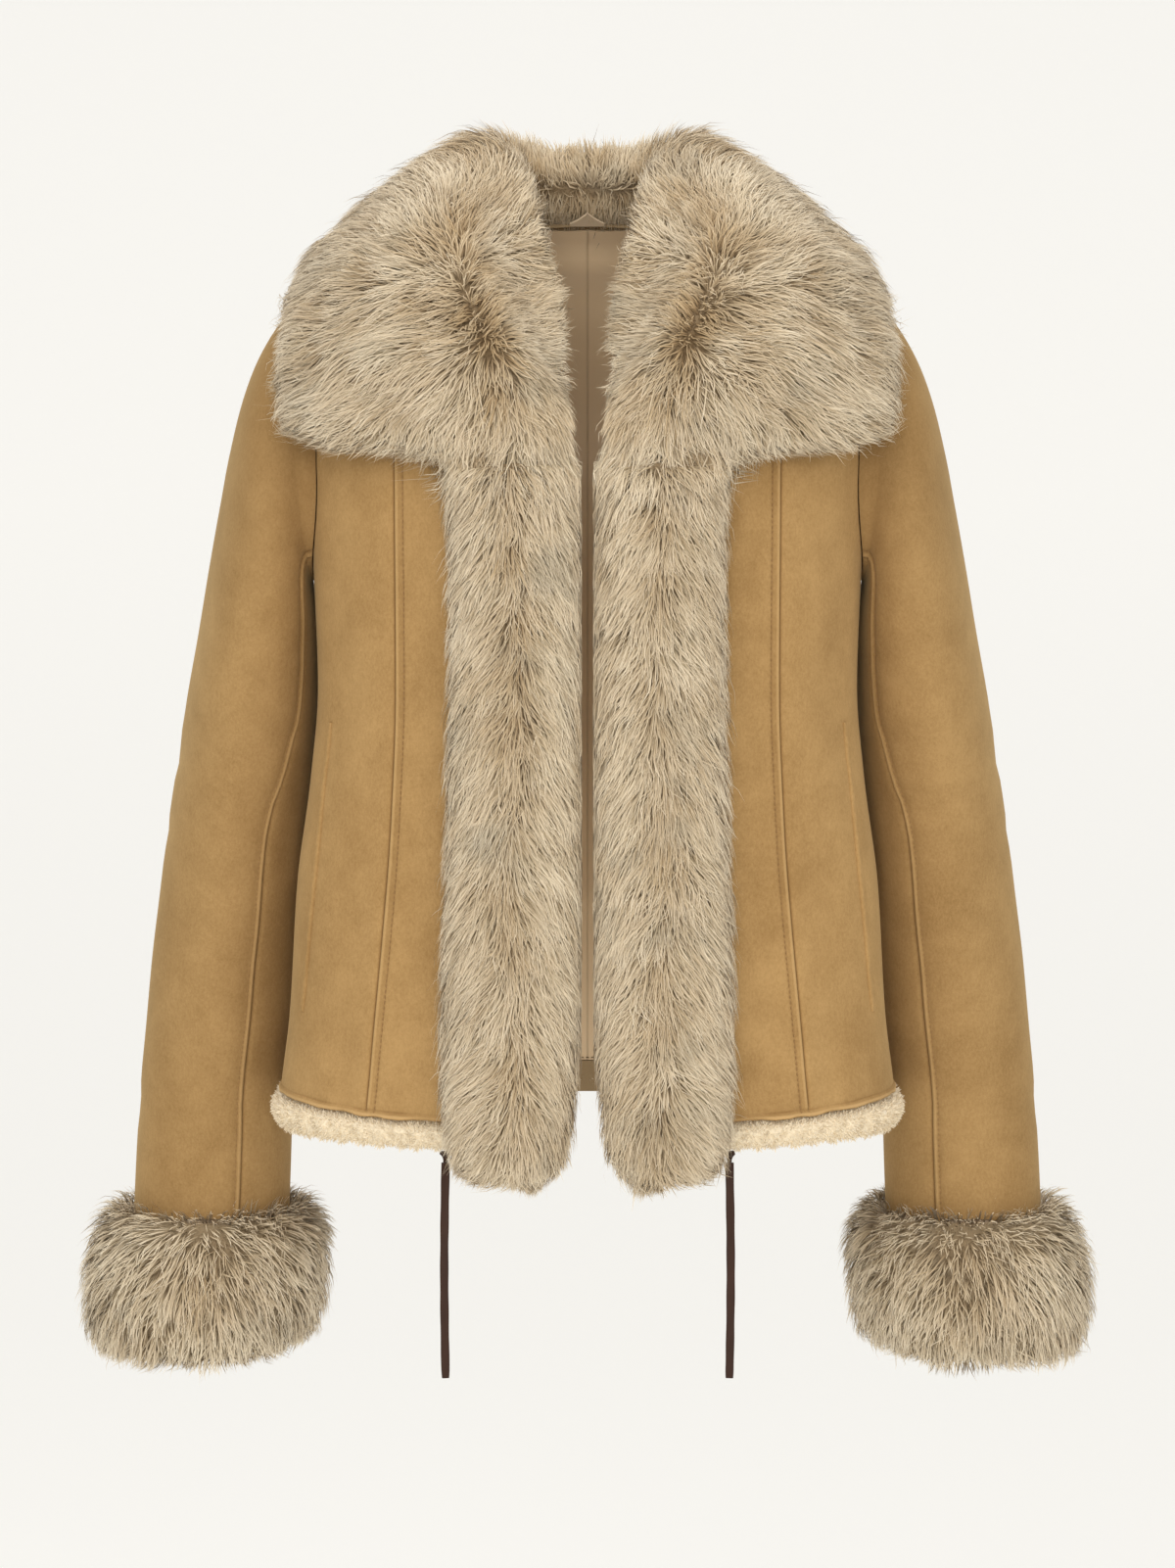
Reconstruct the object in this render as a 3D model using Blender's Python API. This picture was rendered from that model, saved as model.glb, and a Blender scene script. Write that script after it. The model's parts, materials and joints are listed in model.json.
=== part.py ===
"""Shearling coat: open suede body with set-in sleeves, deep fur collar, fur front bands and cuffs.

Lengths here are in millimetres, and each mesh is scaled to metres as it is made. X is the wearer's
left, Y runs from front to back, Z is up, and the origin is the middle of the neck at the height
where the shoulder seams start. Every piece is built for +X and mirrored for -X.
"""

import math
from collections import namedtuple

import bmesh
import bpy
import numpy as np

MM = 0.001

# Driving sizes
SUEDE_WALL = 3.0
LINING_WALL = 1.0
FACING_WALL = 1.4
SEAM_INSET = 0.17
LAYER_GAP = 0.8
HEM_Z = -552.0
YOKE_Z = -165.0
UNDERARM_Z = -235.0
UNDERARM_Y = 4.0
FRONT_EDGE_X = 30.0
NECK_X = 78.0
BACK_NECK_Y = 50.0
SHOULDER_POINT_X = 172.0
ARMHOLE_X = 165.0
LINING_END_Z = -548.5
FACING_END_Z = -569.0
FACING_GAP = 0.4

# Body rings: half width, depth in front and behind, and how square each half is.
Ring = namedtuple("Ring", "z half_width front back front_power back_power")
BODY = (
    Ring(-165, 173.0, 110, 106, 2.8, 3.0),
    Ring(-235, 169.5, 114, 106, 2.8, 2.7),
    Ring(-302, 167.0, 113, 101, 2.8, 2.5),
    Ring(-358, 171.5, 110, 98, 2.8, 2.4),
    Ring(-424, 180.0, 109, 99, 2.8, 2.3),
    Ring(-503, 184.5, 111, 103, 2.8, 2.3),
    Ring(-552, 190.0, 113, 106, 2.8, 2.3),
    Ring(-600, 194.0, 115, 108, 2.8, 2.3),
)

# Height of the shoulder ridge along the shoulder, for the cloth.
Ridge = namedtuple("Ridge", "x z")
SHOULDER = (Ridge(0, 9), Ridge(40, 5), Ridge(78, 0), Ridge(122, -26), Ridge(158, -54), Ridge(174, -62))

# Front neckline, from the front edge up to the shoulder seam.
NECKLINE = (Ridge(30, -120), Ridge(42, -84), Ridge(54, -50), Ridge(66, -22), Ridge(78, 0))

# Princess seam, measured across the front.
Seam = namedtuple("Seam", "z x")
PRINCESS = (Seam(-165, 116), Seam(-300, 115), Seam(-380, 118), Seam(-450, 123), Seam(-552, 133))
ARMHOLE_LINE = (Seam(-165, 165), Seam(-235, 161), Seam(-302, 158), Seam(-424, 169), Seam(-552, 178))

# Sleeve rings after the armhole: outer and inner points, half depth, centre and turn of the seams.
Cut = namedtuple("Cut", "outer_x outer_z inner_x inner_z half_depth centre_y turn")
SLEEVE = (
    Cut(184.0, -66, 171.8, -237, 57.0, 3, 0),
    Cut(197.0, -84, 172.2, -240, 62.0, 4, 0),
    Cut(207.5, -104, 171.8, -244, 66.0, 5, 0),
    Cut(216.5, -130, 171.2, -249, 69.0, 7, 0),
    Cut(223.5, -160, 170.6, -256, 71.0, 10, 0),
    Cut(230.0, -195, 169.8, -264, 72.0, 14, 0),
    Cut(236.5, -232, 169.0, -276, 72.0, 18, 0),
    Cut(243.0, -270, 168.5, -294, 70.0, 23, 0),
    Cut(250.5, -310, 169.0, -318, 68.0, 28, 2),
    Cut(257.5, -352, 171.2, -355, 64.0, 35, 14),
    Cut(264.5, -395, 174.5, -395, 60.0, 40, 26),
    Cut(270.0, -435, 176.0, -435, 57.0, 45, 28),
    Cut(275.6, -475, 179.5, -475, 54.5, 50, 28),
    Cut(280.0, -515, 183.5, -515, 52.5, 54, 28),
    Cut(284.4, -555, 188.0, -555, 51.0, 58, 28),
    Cut(287.4, -597, 189.0, -597, 50.0, 60, 28),
    Cut(289.5, -640, 190.5, -640, 49.0, 61, 28),
)
SLEEVE_SETTLE_RINGS = 4

# Fur cuff, as distance out from the sleeve and height.
Fur = namedtuple("Fur", "out z")
CUFF = (
    Fur(-2.6, -640.6), Fur(0.9, -640.6), Fur(0.9, -636.5), Fur(5.0, -632.5), Fur(13.5, -635.0),
    Fur(21.0, -646.0), Fur(25.0, -662.0), Fur(25.0, -682.0), Fur(24.0, -699.0), Fur(20.0, -713.0),
    Fur(14.0, -726.0), Fur(6.0, -735.0), Fur(-1.0, -735.0), Fur(-5.0, -724.0), Fur(-5.5, -695.0),
    Fur(-4.5, -662.0),
)
CUFF_LEAN = 0.075
CUFF_TUFTS = range(5, 12)

# Fur front band: outer and inner edges and thickness down its length.
Band = namedtuple("Band", "z outer_x inner_x thick")
BAND = (
    Band(-165.0, 80, 7, 33),
    Band(-240.0, 79, 4, 33),
    Band(-330.0, 80, 3.5, 34),
    Band(-420.0, 82, 3.5, 34),
    Band(-490.0, 84, 5, 34),
    Band(-545.0, 82, 10, 33),
    Band(-562.0, 80, 12, 32),
    Band(-578.0, 76, 15, 29),
    Band(-588.0, 70, 21, 24),
    Band(-594.0, 60, 30, 16),
)
# Its section: 0 is the inner edge and 1 the outer one; rise is a share of the thickness.
Pile = namedtuple("Pile", "across rise")
BAND_PILE = (
    Pile(1.00, 0.28), Pile(0.985, 0.55), Pile(0.92, 0.80), Pile(0.80, 0.95), Pile(0.65, 1.0),
    Pile(0.50, 1.0), Pile(0.35, 0.98), Pile(0.20, 0.90), Pile(0.08, 0.70), Pile(0.00, 0.40),
    Pile(0.04, 0.10), Pile(0.14, -0.12),
)
BAND_TOP_Z = -165.2
BAND_END_Z = -594.0
BAND_ROWS = 24
BAND_BASE = 0.9
BAND_BASE_WRAP = 1.2
BAND_BASE_INSET = 7.0
BAND_ROW_SPREAD = 0.06
BAND_TUFT_FROM = 0.5

# Collar stations from the front opening round to the centre back. Each runs from the neck to the
# outer edge over the shoulder form, given by x and by the angle over the shoulder, 0 in front.
Station = namedtuple("Station", "neck_x neck_angle edge_x edge_angle thick tip lip lip_turn lift")
COLLAR = (
    Station(20, 14, 13, 0.2, 20, 0.0, 3, 0, 4),
    Station(30, 17, 26, 0.2, 29, 0.0, 9, 0, 7),
    Station(35, 23, 52, 0.2, 31, 0.0, 17, 0, 10),
    Station(42, 31, 80, 0.2, 32, 0.0, 22, 0, 13),
    Station(50, 42, 112, 3, 32, 5.0, 26, 0, 17),
    Station(58, 54, 144, 4, 31, 6.0, 28, 0, 22),
    Station(66, 67, 169, 10, 29, 6.0, 30, 0, 28),
    Station(73, 79, 176, 30, 25, 7.0, 31, 0, 34),
    Station(78, 90, 173, 56, 22, 7.0, 31, 4, 37),
    Station(78, 97, 169, 84, 22, 7.0, 31, 10, 38),
    Station(75, 101, 168, 112, 23, 7.0, 30, 22, 39),
    Station(66, 108, 160, 140, 26, 6.0, 27, 38, 40),
    Station(52, 113, 134, 156, 31, 6.0, 24, 54, 40),
    Station(36, 116, 90, 162, 31, 6.0, 22, 68, 40),
    Station(18, 118, 45, 164, 31, 6.0, 21, 80, 40),
    Station(0, 118.5, 0, 165, 31, 6.0, 21, 90, 40),
)
COLLAR_SPLIT = 11
COLLAR_FORM_WIDTH = 205.0
COLLAR_FORM_FRONT = 113.5
COLLAR_FORM_BACK = 109.5
COLLAR_RIDGE = (
    Ridge(0, 13), Ridge(40, 9), Ridge(78, 5), Ridge(122, -20.5), Ridge(158, -48), Ridge(174, -57),
    Ridge(190, -67), Ridge(205, -84),
)
# Its section: along is 0 at the neck and 1 at the edge, rise a share of the thickness.
Share = namedtuple("Share", "along rise")
COLLAR_UNDER_STEPS = 4
COLLAR_EDGE_RISE = 0.36
COLLAR_OVER = (
    Share(1.0, 0.58), Share(0.9, 0.84), Share(0.72, 0.97), Share(0.54, 1.03), Share(0.36, 1.08),
    Share(0.18, 1.14),
)
# The lip that rolls into the neck, as shares of the lip and the lift.
Lip = namedtuple("Lip", "inward up")
COLLAR_LIP = (Lip(0.15, 1.0), Lip(0.6, 0.95), Lip(0.92, 0.70), Lip(1.0, 0.40), Lip(0.75, 0.12), Lip(0.3, 0.0))
TUFT_HEIGHT = 1.4

# Shearling roll under the hem, as distance out from the suede and share of its height.
HEM_TOP_Z = HEM_Z - 0.4
HEM_FRONT_END_Z = -573.0
HEM_BACK_END_Z = -568.0
HEM_START_X = 83.5
HEM_ROLL = (
    Fur(0.72, 0.0), Fur(0.97, 0.18), Fur(1.0, 0.5), Fur(0.8, 0.84), Fur(0.5, 1.0), Fur(0.2, 0.84),
    Fur(0.0, 0.5), Fur(0.03, 0.18), Fur(0.28, 0.0),
)
HEM_OUT = 5.8
HEM_OUT_BEHIND = 3.2
HEM_REACH_IN = 10.0
HEM_REACH_IN_BEHIND = 3.0
HEM_FADE = 0.2
HEM_TUFT = 1.0
HEM_TUFT_DOWN = 0.3
HEM_TUFT_OUT = 0.5

# Pocket welt on the side front: top and bottom ends.
WELT_TOP = Seam(-322, 156.5)
WELT_END = Seam(-498, 172.0)
WELT_WIDTH = 4.0
WELT_RAISE = 1.3
WELT_LIFT = 0.7

# Tie: a leather thong on each side, from its knot under the hem.
TIE_X = 84.5
TIE_Y = -106.0
TIE_KNOT_TOP = -573.6
TIE_KNOT_HEIGHT = 8.0
TIE_KNOT_RADIUS = 4.2
TIE_KNOT_FLATNESS = 0.8
TIE_GAP = 0.3
Swell = namedtuple("Swell", "down size")
TIE_KNOT = (Swell(0.0, 0.45), Swell(0.2, 0.9), Swell(0.5, 1.0), Swell(0.8, 0.85), Swell(1.0, 0.5))
TIE_END_Z = -710.0
TIE_WIDTH = 5.0
TIE_POINTS = 12
TIE_SWAY = 0.8

# Hanger tab at the back neck
TAB_WIDTH = 24.0
TAB_HEIGHT = 7.0
TAB_WALL = 1.2
TAB_DROP = 0.02

# Mesh counts
LOWER_ROWS = 9
UPPER_ROWS = 7
SIDE_COLUMNS = 5
FRONT_SHARES = (0.0, 0.14, 0.28, 0.42, 0.56, 0.78, 1.0)
CHEST_SHARES = (0.0, 0.3, 0.58, 0.82, 1.0)
BACK_SHARES = (0.0, 0.13, 0.26, 0.38, 0.473, 0.62, 0.76, 0.89, 1.0)
CUFF_COLUMNS = 28
HEM_FRONT_RINGS = 14
HEM_BACK_RINGS = 33
WELT_ROWS = 8
TAB_COLUMNS = 7
KNOT_SIDES = 10
# How many columns before the underarm point the front sleeve seam lies, and the back one before
# the yoke height behind.
FRONT_SEAM_COLUMNS = 3
BACK_SEAM_COLUMNS = 2

# Small steps for the normals
STEP_ANGLE = 0.004
STEP_X = 0.4
STEP_Z = 1.0

# Finishes: sRGB colour and roughness
Finish = namedtuple("Finish", "red green blue roughness")
FINISHES = {
    "suede": Finish(182, 145, 95, 0.92),
    "fox_fur": Finish(188, 170, 142, 0.8),
    "shearling": Finish(221, 203, 173, 0.95),
    "satin_lining": Finish(148, 124, 93, 0.42),
    "leather_tie": Finish(73, 47, 36, 0.5),
}


def curve_of(table, key, value):
    """A smooth curve through one column of a table, read against another column."""
    rows = sorted(table, key=lambda row: getattr(row, key))
    keys = np.array([getattr(row, key) for row in rows], float)
    values = np.array([getattr(row, value) for row in rows], float)
    slopes = np.diff(values) / np.diff(keys)
    tangents = np.zeros_like(values)
    tangents[0] = slopes[0]
    tangents[-1] = slopes[-1]
    for i in range(1, len(values) - 1):
        before, after = slopes[i - 1], slopes[i]
        if before * after > 0:
            tangents[i] = 2 * before * after / (before + after)

    def read(at):
        at = min(max(at, keys[0]), keys[-1])
        i = min(int(np.searchsorted(keys, at, side="right")) - 1, len(keys) - 2)
        width = keys[i + 1] - keys[i]
        t = (at - keys[i]) / width
        start = (1 + 2 * t) * (1 - t) ** 2 * values[i] + t * (1 - t) ** 2 * width * tangents[i]
        end = t * t * (3 - 2 * t) * values[i + 1] - t * t * (1 - t) * width * tangents[i + 1]
        return float(start + end)

    return read


def mixed(start, end, share):
    return start + (end - start) * share


def unit(vector):
    return vector / np.linalg.norm(vector)


half_width = curve_of(BODY, "z", "half_width")
front_depth = curve_of(BODY, "z", "front")
back_depth = curve_of(BODY, "z", "back")
front_power = curve_of(BODY, "z", "front_power")
back_power = curve_of(BODY, "z", "back_power")
shoulder_z = curve_of(SHOULDER, "x", "z")
neckline_z = curve_of(NECKLINE, "x", "z")
princess_x = curve_of(PRINCESS, "z", "x")
armhole_line_x = curve_of(ARMHOLE_LINE, "z", "x")
collar_ridge_z = curve_of(COLLAR_RIDGE, "x", "z")


def depth_at(x, width, depth, power):
    """How far a squared-off half ring stands from its middle line at x."""
    return depth * max(1 - (abs(x) / width) ** power, 0.0) ** (1 / power)


def lower_point(angle, z):
    """A point of the body ring at a height; the angle is 0 at the front and pi at the back."""
    across, along = math.sin(angle), math.cos(angle)
    in_front = along >= 0
    depth = front_depth(z) if in_front else back_depth(z)
    power = front_power(z) if in_front else back_power(z)
    size = (abs(across) / half_width(z)) ** power + (abs(along) / depth) ** power
    reach = size ** (-1 / power)
    return np.array([reach * across, -reach * along, z])


def upper_point(x, roll):
    """A point of the yoke; roll is 0 on the front at the yoke height, pi/2 on the ridge, pi behind."""
    in_front = math.cos(roll) >= 0
    depth = front_depth(YOKE_Z) if in_front else back_depth(YOKE_Z)
    power = front_power(YOKE_Z) if in_front else back_power(YOKE_Z)
    away = depth_at(x, half_width(YOKE_Z), depth, power)
    return np.array([x, -away * math.cos(roll), mixed(YOKE_Z, shoulder_z(abs(x)), math.sin(roll))])


def collar_point(x, roll):
    """The same over the wider form that the collar lies on, which also clears the sleeve heads."""
    in_front = math.cos(roll) >= 0
    depth = COLLAR_FORM_FRONT if in_front else COLLAR_FORM_BACK
    power = front_power(YOKE_Z) if in_front else back_power(YOKE_Z)
    away = depth_at(x, COLLAR_FORM_WIDTH, depth, power)
    return np.array([x, -away * math.cos(roll), mixed(YOKE_Z, collar_ridge_z(abs(x)), math.sin(roll))])


def normal_of(surface, first, second, first_step, second_step):
    """Outward unit normal of a surface, from small steps along its two values."""
    along = surface(first + first_step, second) - surface(first - first_step, second)
    up = surface(first, second + second_step) - surface(first, second - second_step)
    normal = unit(np.cross(along, up))
    middle = np.array([0.0, 0.0, YOKE_Z])
    outward = surface(first, second) - middle
    if surface is lower_point:
        outward[2] = 0.0
    return normal if normal @ outward > 0 else -normal


def lower_spot(angle, z):
    return lower_point(angle, z), normal_of(lower_point, angle, z, STEP_ANGLE, STEP_Z)


def upper_spot(x, roll):
    return upper_point(x, roll), normal_of(upper_point, x, roll, STEP_X, STEP_ANGLE)


def angle_at(x, z, behind=False):
    """The ring angle of the point that lies at x on the front or the back."""
    if behind:
        return math.atan2(x, -depth_at(x, half_width(z), back_depth(z), back_power(z)))
    return math.atan2(x, depth_at(x, half_width(z), front_depth(z), front_power(z)))


def seam_angle(z):
    """The ring angle of the side seam, just behind the middle of the side."""
    return math.atan2(half_width(z), -UNDERARM_Y)


def column_of(line_x, top_roll, behind):
    """Spots up one column: hem to yoke by height, then over the shoulder form by roll."""
    spots = []
    for row in range(LOWER_ROWS + 1):
        z = mixed(HEM_Z, YOKE_Z, row / LOWER_ROWS)
        spots.append(lower_spot(angle_at(line_x(z), z, behind), z))
    yoke_x = line_x(YOKE_Z)
    for row in range(1, UPPER_ROWS + 1):
        roll = top_roll(yoke_x) * row / UPPER_ROWS
        x = yoke_x
        if abs(yoke_x - ARMHOLE_X) < 1e-6:
            x = mixed(ARMHOLE_X, SHOULDER_POINT_X, math.sin(roll) ** 2)
        spots.append(upper_spot(x, math.pi - roll if behind else roll))
    return spots


def front_roll(x):
    """The roll at which the front ends: its neckline, then the shoulder seam."""
    if x >= NECK_X:
        return math.pi / 2
    return math.asin((neckline_z(x) - YOKE_Z) / (shoulder_z(x) - YOKE_Z))


def back_roll(x):
    """The roll at which the back ends: half an oval round the neck, then the shoulder seam."""
    if x >= NECK_X:
        return math.pi / 2
    away = BACK_NECK_Y * math.sqrt(1 - (x / NECK_X) ** 2)
    depth = depth_at(x, half_width(YOKE_Z), back_depth(YOKE_Z), back_power(YOKE_Z))
    return math.acos(away / depth)


def side_columns(behind):
    """Columns under the armhole, from the armhole line to the side seam."""
    columns = []
    for step in range(1, SIDE_COLUMNS + 1):
        turn = math.pi / 2 * step / SIDE_COLUMNS
        share = 1 - math.cos(turn)
        top = mixed(YOKE_Z, UNDERARM_Z, math.sin(turn))
        spots = []
        for row in range(LOWER_ROWS + 1):
            z = mixed(HEM_Z, top, row / LOWER_ROWS)
            start = angle_at(armhole_line_x(z), z, behind)
            spots.append(lower_spot(mixed(start, seam_angle(z), share), z))
        columns.append(spots)
    return columns


def back_lines():
    """The ring angle of each back column as a function of height, centre back to side seam."""
    def behind(share):
        return lambda z: angle_at(mixed(0.0, armhole_line_x(z), share), z, True)

    def under(share):
        return lambda z: mixed(angle_at(armhole_line_x(z), z, True), seam_angle(z), share)

    turns = [math.pi / 2 * step / SIDE_COLUMNS for step in range(1, SIDE_COLUMNS + 1)]
    return [behind(share) for share in BACK_SHARES] + [under(1 - math.cos(turn)) for turn in turns]


def front_columns():
    def line(share):
        return lambda z: mixed(FRONT_EDGE_X, princess_x(z), share)

    return [column_of(line(share), front_roll, False) for share in FRONT_SHARES]


def chest_columns():
    def line(share):
        return lambda z: mixed(princess_x(z), armhole_line_x(z), share)

    return [column_of(line(share), front_roll, False) for share in CHEST_SHARES]


def back_columns():
    def line(share):
        return lambda z: mixed(0.0, armhole_line_x(z), share)

    return [column_of(line(share), back_roll, True) for share in BACK_SHARES]


def quads_of(columns):
    """Every cell of neighbouring columns, which may differ in height, as keys of their corners."""
    cells = []
    for i in range(len(columns) - 1):
        for j in range(min(len(columns[i]), len(columns[i + 1])) - 1):
            cells.append(((i, j), (i + 1, j), (i + 1, j + 1), (i, j + 1)))
    return cells


def border_edges(cells):
    """The edges that only one cell uses, each in that cell's direction."""
    used = {}
    for cell in cells:
        for start, end in zip(cell, cell[1:] + cell[:1]):
            used.setdefault(frozenset((start, end)), []).append((start, end))
    return [ways[0] for ways in used.values() if len(ways) == 1]


def seam_insets(points, cells):
    """How far each border point moves into its own piece, so that seams keep a gap."""
    inward = {}
    centre_of = {}
    for cell in cells:
        centre = sum(points[key] for key in cell) / 4
        for start, end in zip(cell, cell[1:] + cell[:1]):
            centre_of[start, end] = centre
    for start, end in border_edges(cells):
        along = unit(points[end] - points[start])
        to_centre = centre_of[start, end] - points[start]
        across = unit(to_centre - (to_centre @ along) * along)
        inward.setdefault(start, []).append(across)
        inward.setdefault(end, []).append(across)
    moves = {}
    for key, sides in inward.items():
        first, last = sides[0], sides[-1]
        moves[key] = SEAM_INSET * (first + last) / max(1 + first @ last, 0.4)
    return moves


def material_of(slot):
    """The slot's Principled material, made once."""
    if slot in bpy.data.materials:
        return bpy.data.materials[slot]
    finish = FINISHES[slot]
    material = bpy.data.materials.new(slot)
    material.use_nodes = True
    shader = material.node_tree.nodes["Principled BSDF"]
    linear = [(level / 255) ** 2.2 for level in finish[:3]]
    shader.inputs["Base Color"].default_value = (*linear, 1.0)
    shader.inputs["Roughness"].default_value = finish.roughness
    shader.inputs["Metallic"].default_value = 0.0
    material.diffuse_color = (*linear, 1.0)
    return material


def add_piece(name, points, faces, slot, mirrored=False):
    """A closed mesh object in metres, its faces turned outwards."""
    mesh = bpy.data.meshes.new(name)
    build = bmesh.new()
    flip = np.array([-1.0, 1.0, 1.0]) if mirrored else np.ones(3)
    corners = [build.verts.new(tuple(point * flip * MM)) for point in points]
    for face in faces:
        order = face[::-1] if mirrored else face
        build.faces.new([corners[i] for i in order])
    bmesh.ops.recalc_face_normals(build, faces=build.faces)
    build.to_mesh(mesh)
    build.free()
    mesh.shade_smooth()
    mesh.set_sharp_from_angle(angle=math.radians(50))
    mesh.materials.append(material_of(slot))
    piece = bpy.data.objects.new(name, mesh)
    bpy.context.scene.collection.objects.link(piece)
    return piece


def add_pair(name, points, faces, slot):
    """The same piece at +X and mirrored at -X."""
    add_piece(name + "_R", points, faces, slot)
    add_piece(name + "_L", points, faces, slot, mirrored=True)


def split_cell(corners):
    """The two triangles of a four-sided cell, parted along its shorter diagonal."""
    first = np.linalg.norm(corners[2] - corners[0])
    second = np.linalg.norm(corners[3] - corners[1])
    if first <= second:
        return (0, 1, 2), (0, 2, 3)
    return (1, 2, 3), (1, 3, 0)


def wall(spots, cells, outer=0.0, inner=-SUEDE_WALL):
    """Points and faces of a wall over spots, between two distances along their normals."""
    keys = sorted(spots)
    index = {key: i for i, key in enumerate(keys)}
    places = {key: spots[key][0] for key in keys}
    moves = seam_insets(places, cells)
    still = np.zeros(3)
    base = [places[key] + moves.get(key, still) for key in keys]
    points = [place + spots[key][1] * outer for place, key in zip(base, keys)]
    points += [place + spots[key][1] * inner for place, key in zip(base, keys)]
    count = len(keys)
    faces = []
    for cell in cells:
        for corners in split_cell([places[key] for key in cell]):
            outer_face = [index[cell[i]] for i in corners]
            faces.append(tuple(outer_face))
            faces.append(tuple(i + count for i in reversed(outer_face)))
    for start, end in border_edges(cells):
        a, b = index[start], index[end]
        rim = (b, a, a + count, b + count)
        for corners in split_cell([points[i] for i in rim]):
            faces.append(tuple(rim[i] for i in corners))
    return points, faces


def panel(columns, outer=0.0, inner=-SUEDE_WALL):
    """A wall over columns of spots."""
    spots = {(i, j): spot for i, column in enumerate(columns) for j, spot in enumerate(column)}
    return wall(spots, quads_of(columns), outer, inner)


def both_halves(columns):
    """Columns from one side seam to the other, mirrored about the centre back."""
    flip = np.array([-1.0, 1.0, 1.0])
    mirrored = [[(point * flip, normal * flip) for point, normal in column] for column in columns[1:]]
    return mirrored[::-1] + columns


def tube(rings, close_ends=True):
    """Points and faces of rings of equal count, joined in order, with flat ends or joined round."""
    count = len(rings[0])
    points = [point for ring in rings for point in ring]
    faces = []
    last = len(rings) - 1 if close_ends else len(rings)
    for i in range(last):
        here, there = i * count, (i + 1) % len(rings) * count
        for j in range(count):
            k = (j + 1) % count
            cell = (here + j, here + k, there + k, there + j)
            for corners in split_cell([points[index] for index in cell]):
                faces.append(tuple(cell[index] for index in corners))
    if close_ends:
        faces.append(tuple(reversed(range(count))))
        faces.append(tuple(range(last * count, last * count + count)))
    return points, faces


def build_body():
    """Fronts, side fronts and the two halves of the back."""
    add_pair("front_panel", *panel(front_columns()), "suede")
    add_pair("side_front", *panel(chest_columns() + side_columns(False)), "suede")
    add_pair("back_panel", *panel(back_columns() + side_columns(True)), "suede")


def armhole():
    """The armhole edge, from the yoke height in front, over the shoulder, down and under."""
    front = chest_columns()[-1][LOWER_ROWS:]
    back = back_columns()[-1][LOWER_ROWS:]
    under_back = [spots[-1] for spots in side_columns(True)]
    under_front = [spots[-1] for spots in side_columns(False)]
    ring = front + back[-2::-1] + under_back + under_front[-2::-1]
    return [point for point, normal in ring]


def sleeve_grid():
    """Rings of spots down the sleeve; the first stands just off the armhole edge."""
    edge = np.array(armhole())
    count = len(edge)
    top, bottom = edge[UPPER_ROWS], edge[2 * UPPER_ROWS + SIDE_COLUMNS]
    middle = (top + bottom) / 2
    rise = top - middle
    upper = np.linspace(0, math.pi, 2 * UPPER_ROWS + 1)
    lower = np.linspace(math.pi, 2 * math.pi, 2 * SIDE_COLUMNS + 1)
    turns = np.concatenate([upper, lower[1:-1]])
    half_depth = (edge[:, 1].max() - edge[:, 1].min()) / 2
    up_share = (edge - middle) @ rise / (rise @ rise)
    depth_share = (edge[:, 1] - middle[1]) / half_depth
    rings = [edge + np.array([LAYER_GAP, 0, 0])]
    for number, cut in enumerate(SLEEVE, 1):
        outer = np.array([cut.outer_x, cut.centre_y, cut.outer_z])
        inner = np.array([cut.inner_x, cut.centre_y, cut.inner_z])
        settled = min(number / SLEEVE_SETTLE_RINGS, 1.0)
        turned = turns + math.radians(cut.turn)
        up = mixed(up_share, np.sin(turned), settled)
        deep = mixed(depth_share, -np.cos(turned), settled)
        ring = np.outer(up, (outer - inner) / 2) + (outer + inner) / 2
        ring[:, 1] += deep * cut.half_depth
        rings.append(ring)
    grid = np.array(rings)
    around = np.roll(grid, -1, axis=1) - np.roll(grid, 1, axis=1)
    along = np.gradient(grid, axis=0)
    normals = np.cross(around, along)
    normals[0] = np.cross(around[0], np.array([1.0, 0, 0]))
    normals /= np.linalg.norm(normals, axis=2, keepdims=True)
    outward = grid - grid.mean(axis=1, keepdims=True)
    normals *= np.sign((normals * outward).sum(axis=2, keepdims=True))
    return grid, normals, count


def build_sleeves():
    """Top sleeve over the outside, under sleeve beneath, parted at a front and a back seam."""
    grid, normals, count = sleeve_grid()
    front_seam = 2 * UPPER_ROWS + 2 * SIDE_COLUMNS - FRONT_SEAM_COLUMNS
    back_seam = 2 * UPPER_ROWS - BACK_SEAM_COLUMNS
    spans = {
        "top_sleeve": [i % count for i in range(front_seam, back_seam + count + 1)],
        "under_sleeve": list(range(back_seam, front_seam + 1)),
    }
    for name, span in spans.items():
        columns = [[(grid[j, i], normals[j, i]) for j in range(len(grid))] for i in span]
        add_pair(name, *panel(columns), "suede")


def build_cuffs():
    """A ring of fur round the sleeve end and below it."""
    end = SLEEVE[-1]
    rings = []
    for i in range(CUFF_COLUMNS):
        turn = 2 * math.pi * i / CUFF_COLUMNS
        ring = []
        for j, fur in enumerate(CUFF):
            middle_x = (end.outer_x + end.inner_x) / 2 + CUFF_LEAN * max(end.outer_z - fur.z, 0.0)
            half = (end.outer_x - end.inner_x) / 2
            tuft = TUFT_HEIGHT * math.cos(math.pi * (i + j)) if j in CUFF_TUFTS else 0.0
            out = fur.out + tuft
            x = middle_x + (half + out) * math.sin(turn)
            y = end.centre_y - (end.half_depth + out) * math.cos(turn)
            ring.append(np.array([x, y, fur.z]))
        rings.append(ring)
    add_pair("fur_cuff", *tube(rings, close_ends=False), "fox_fur")


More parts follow.
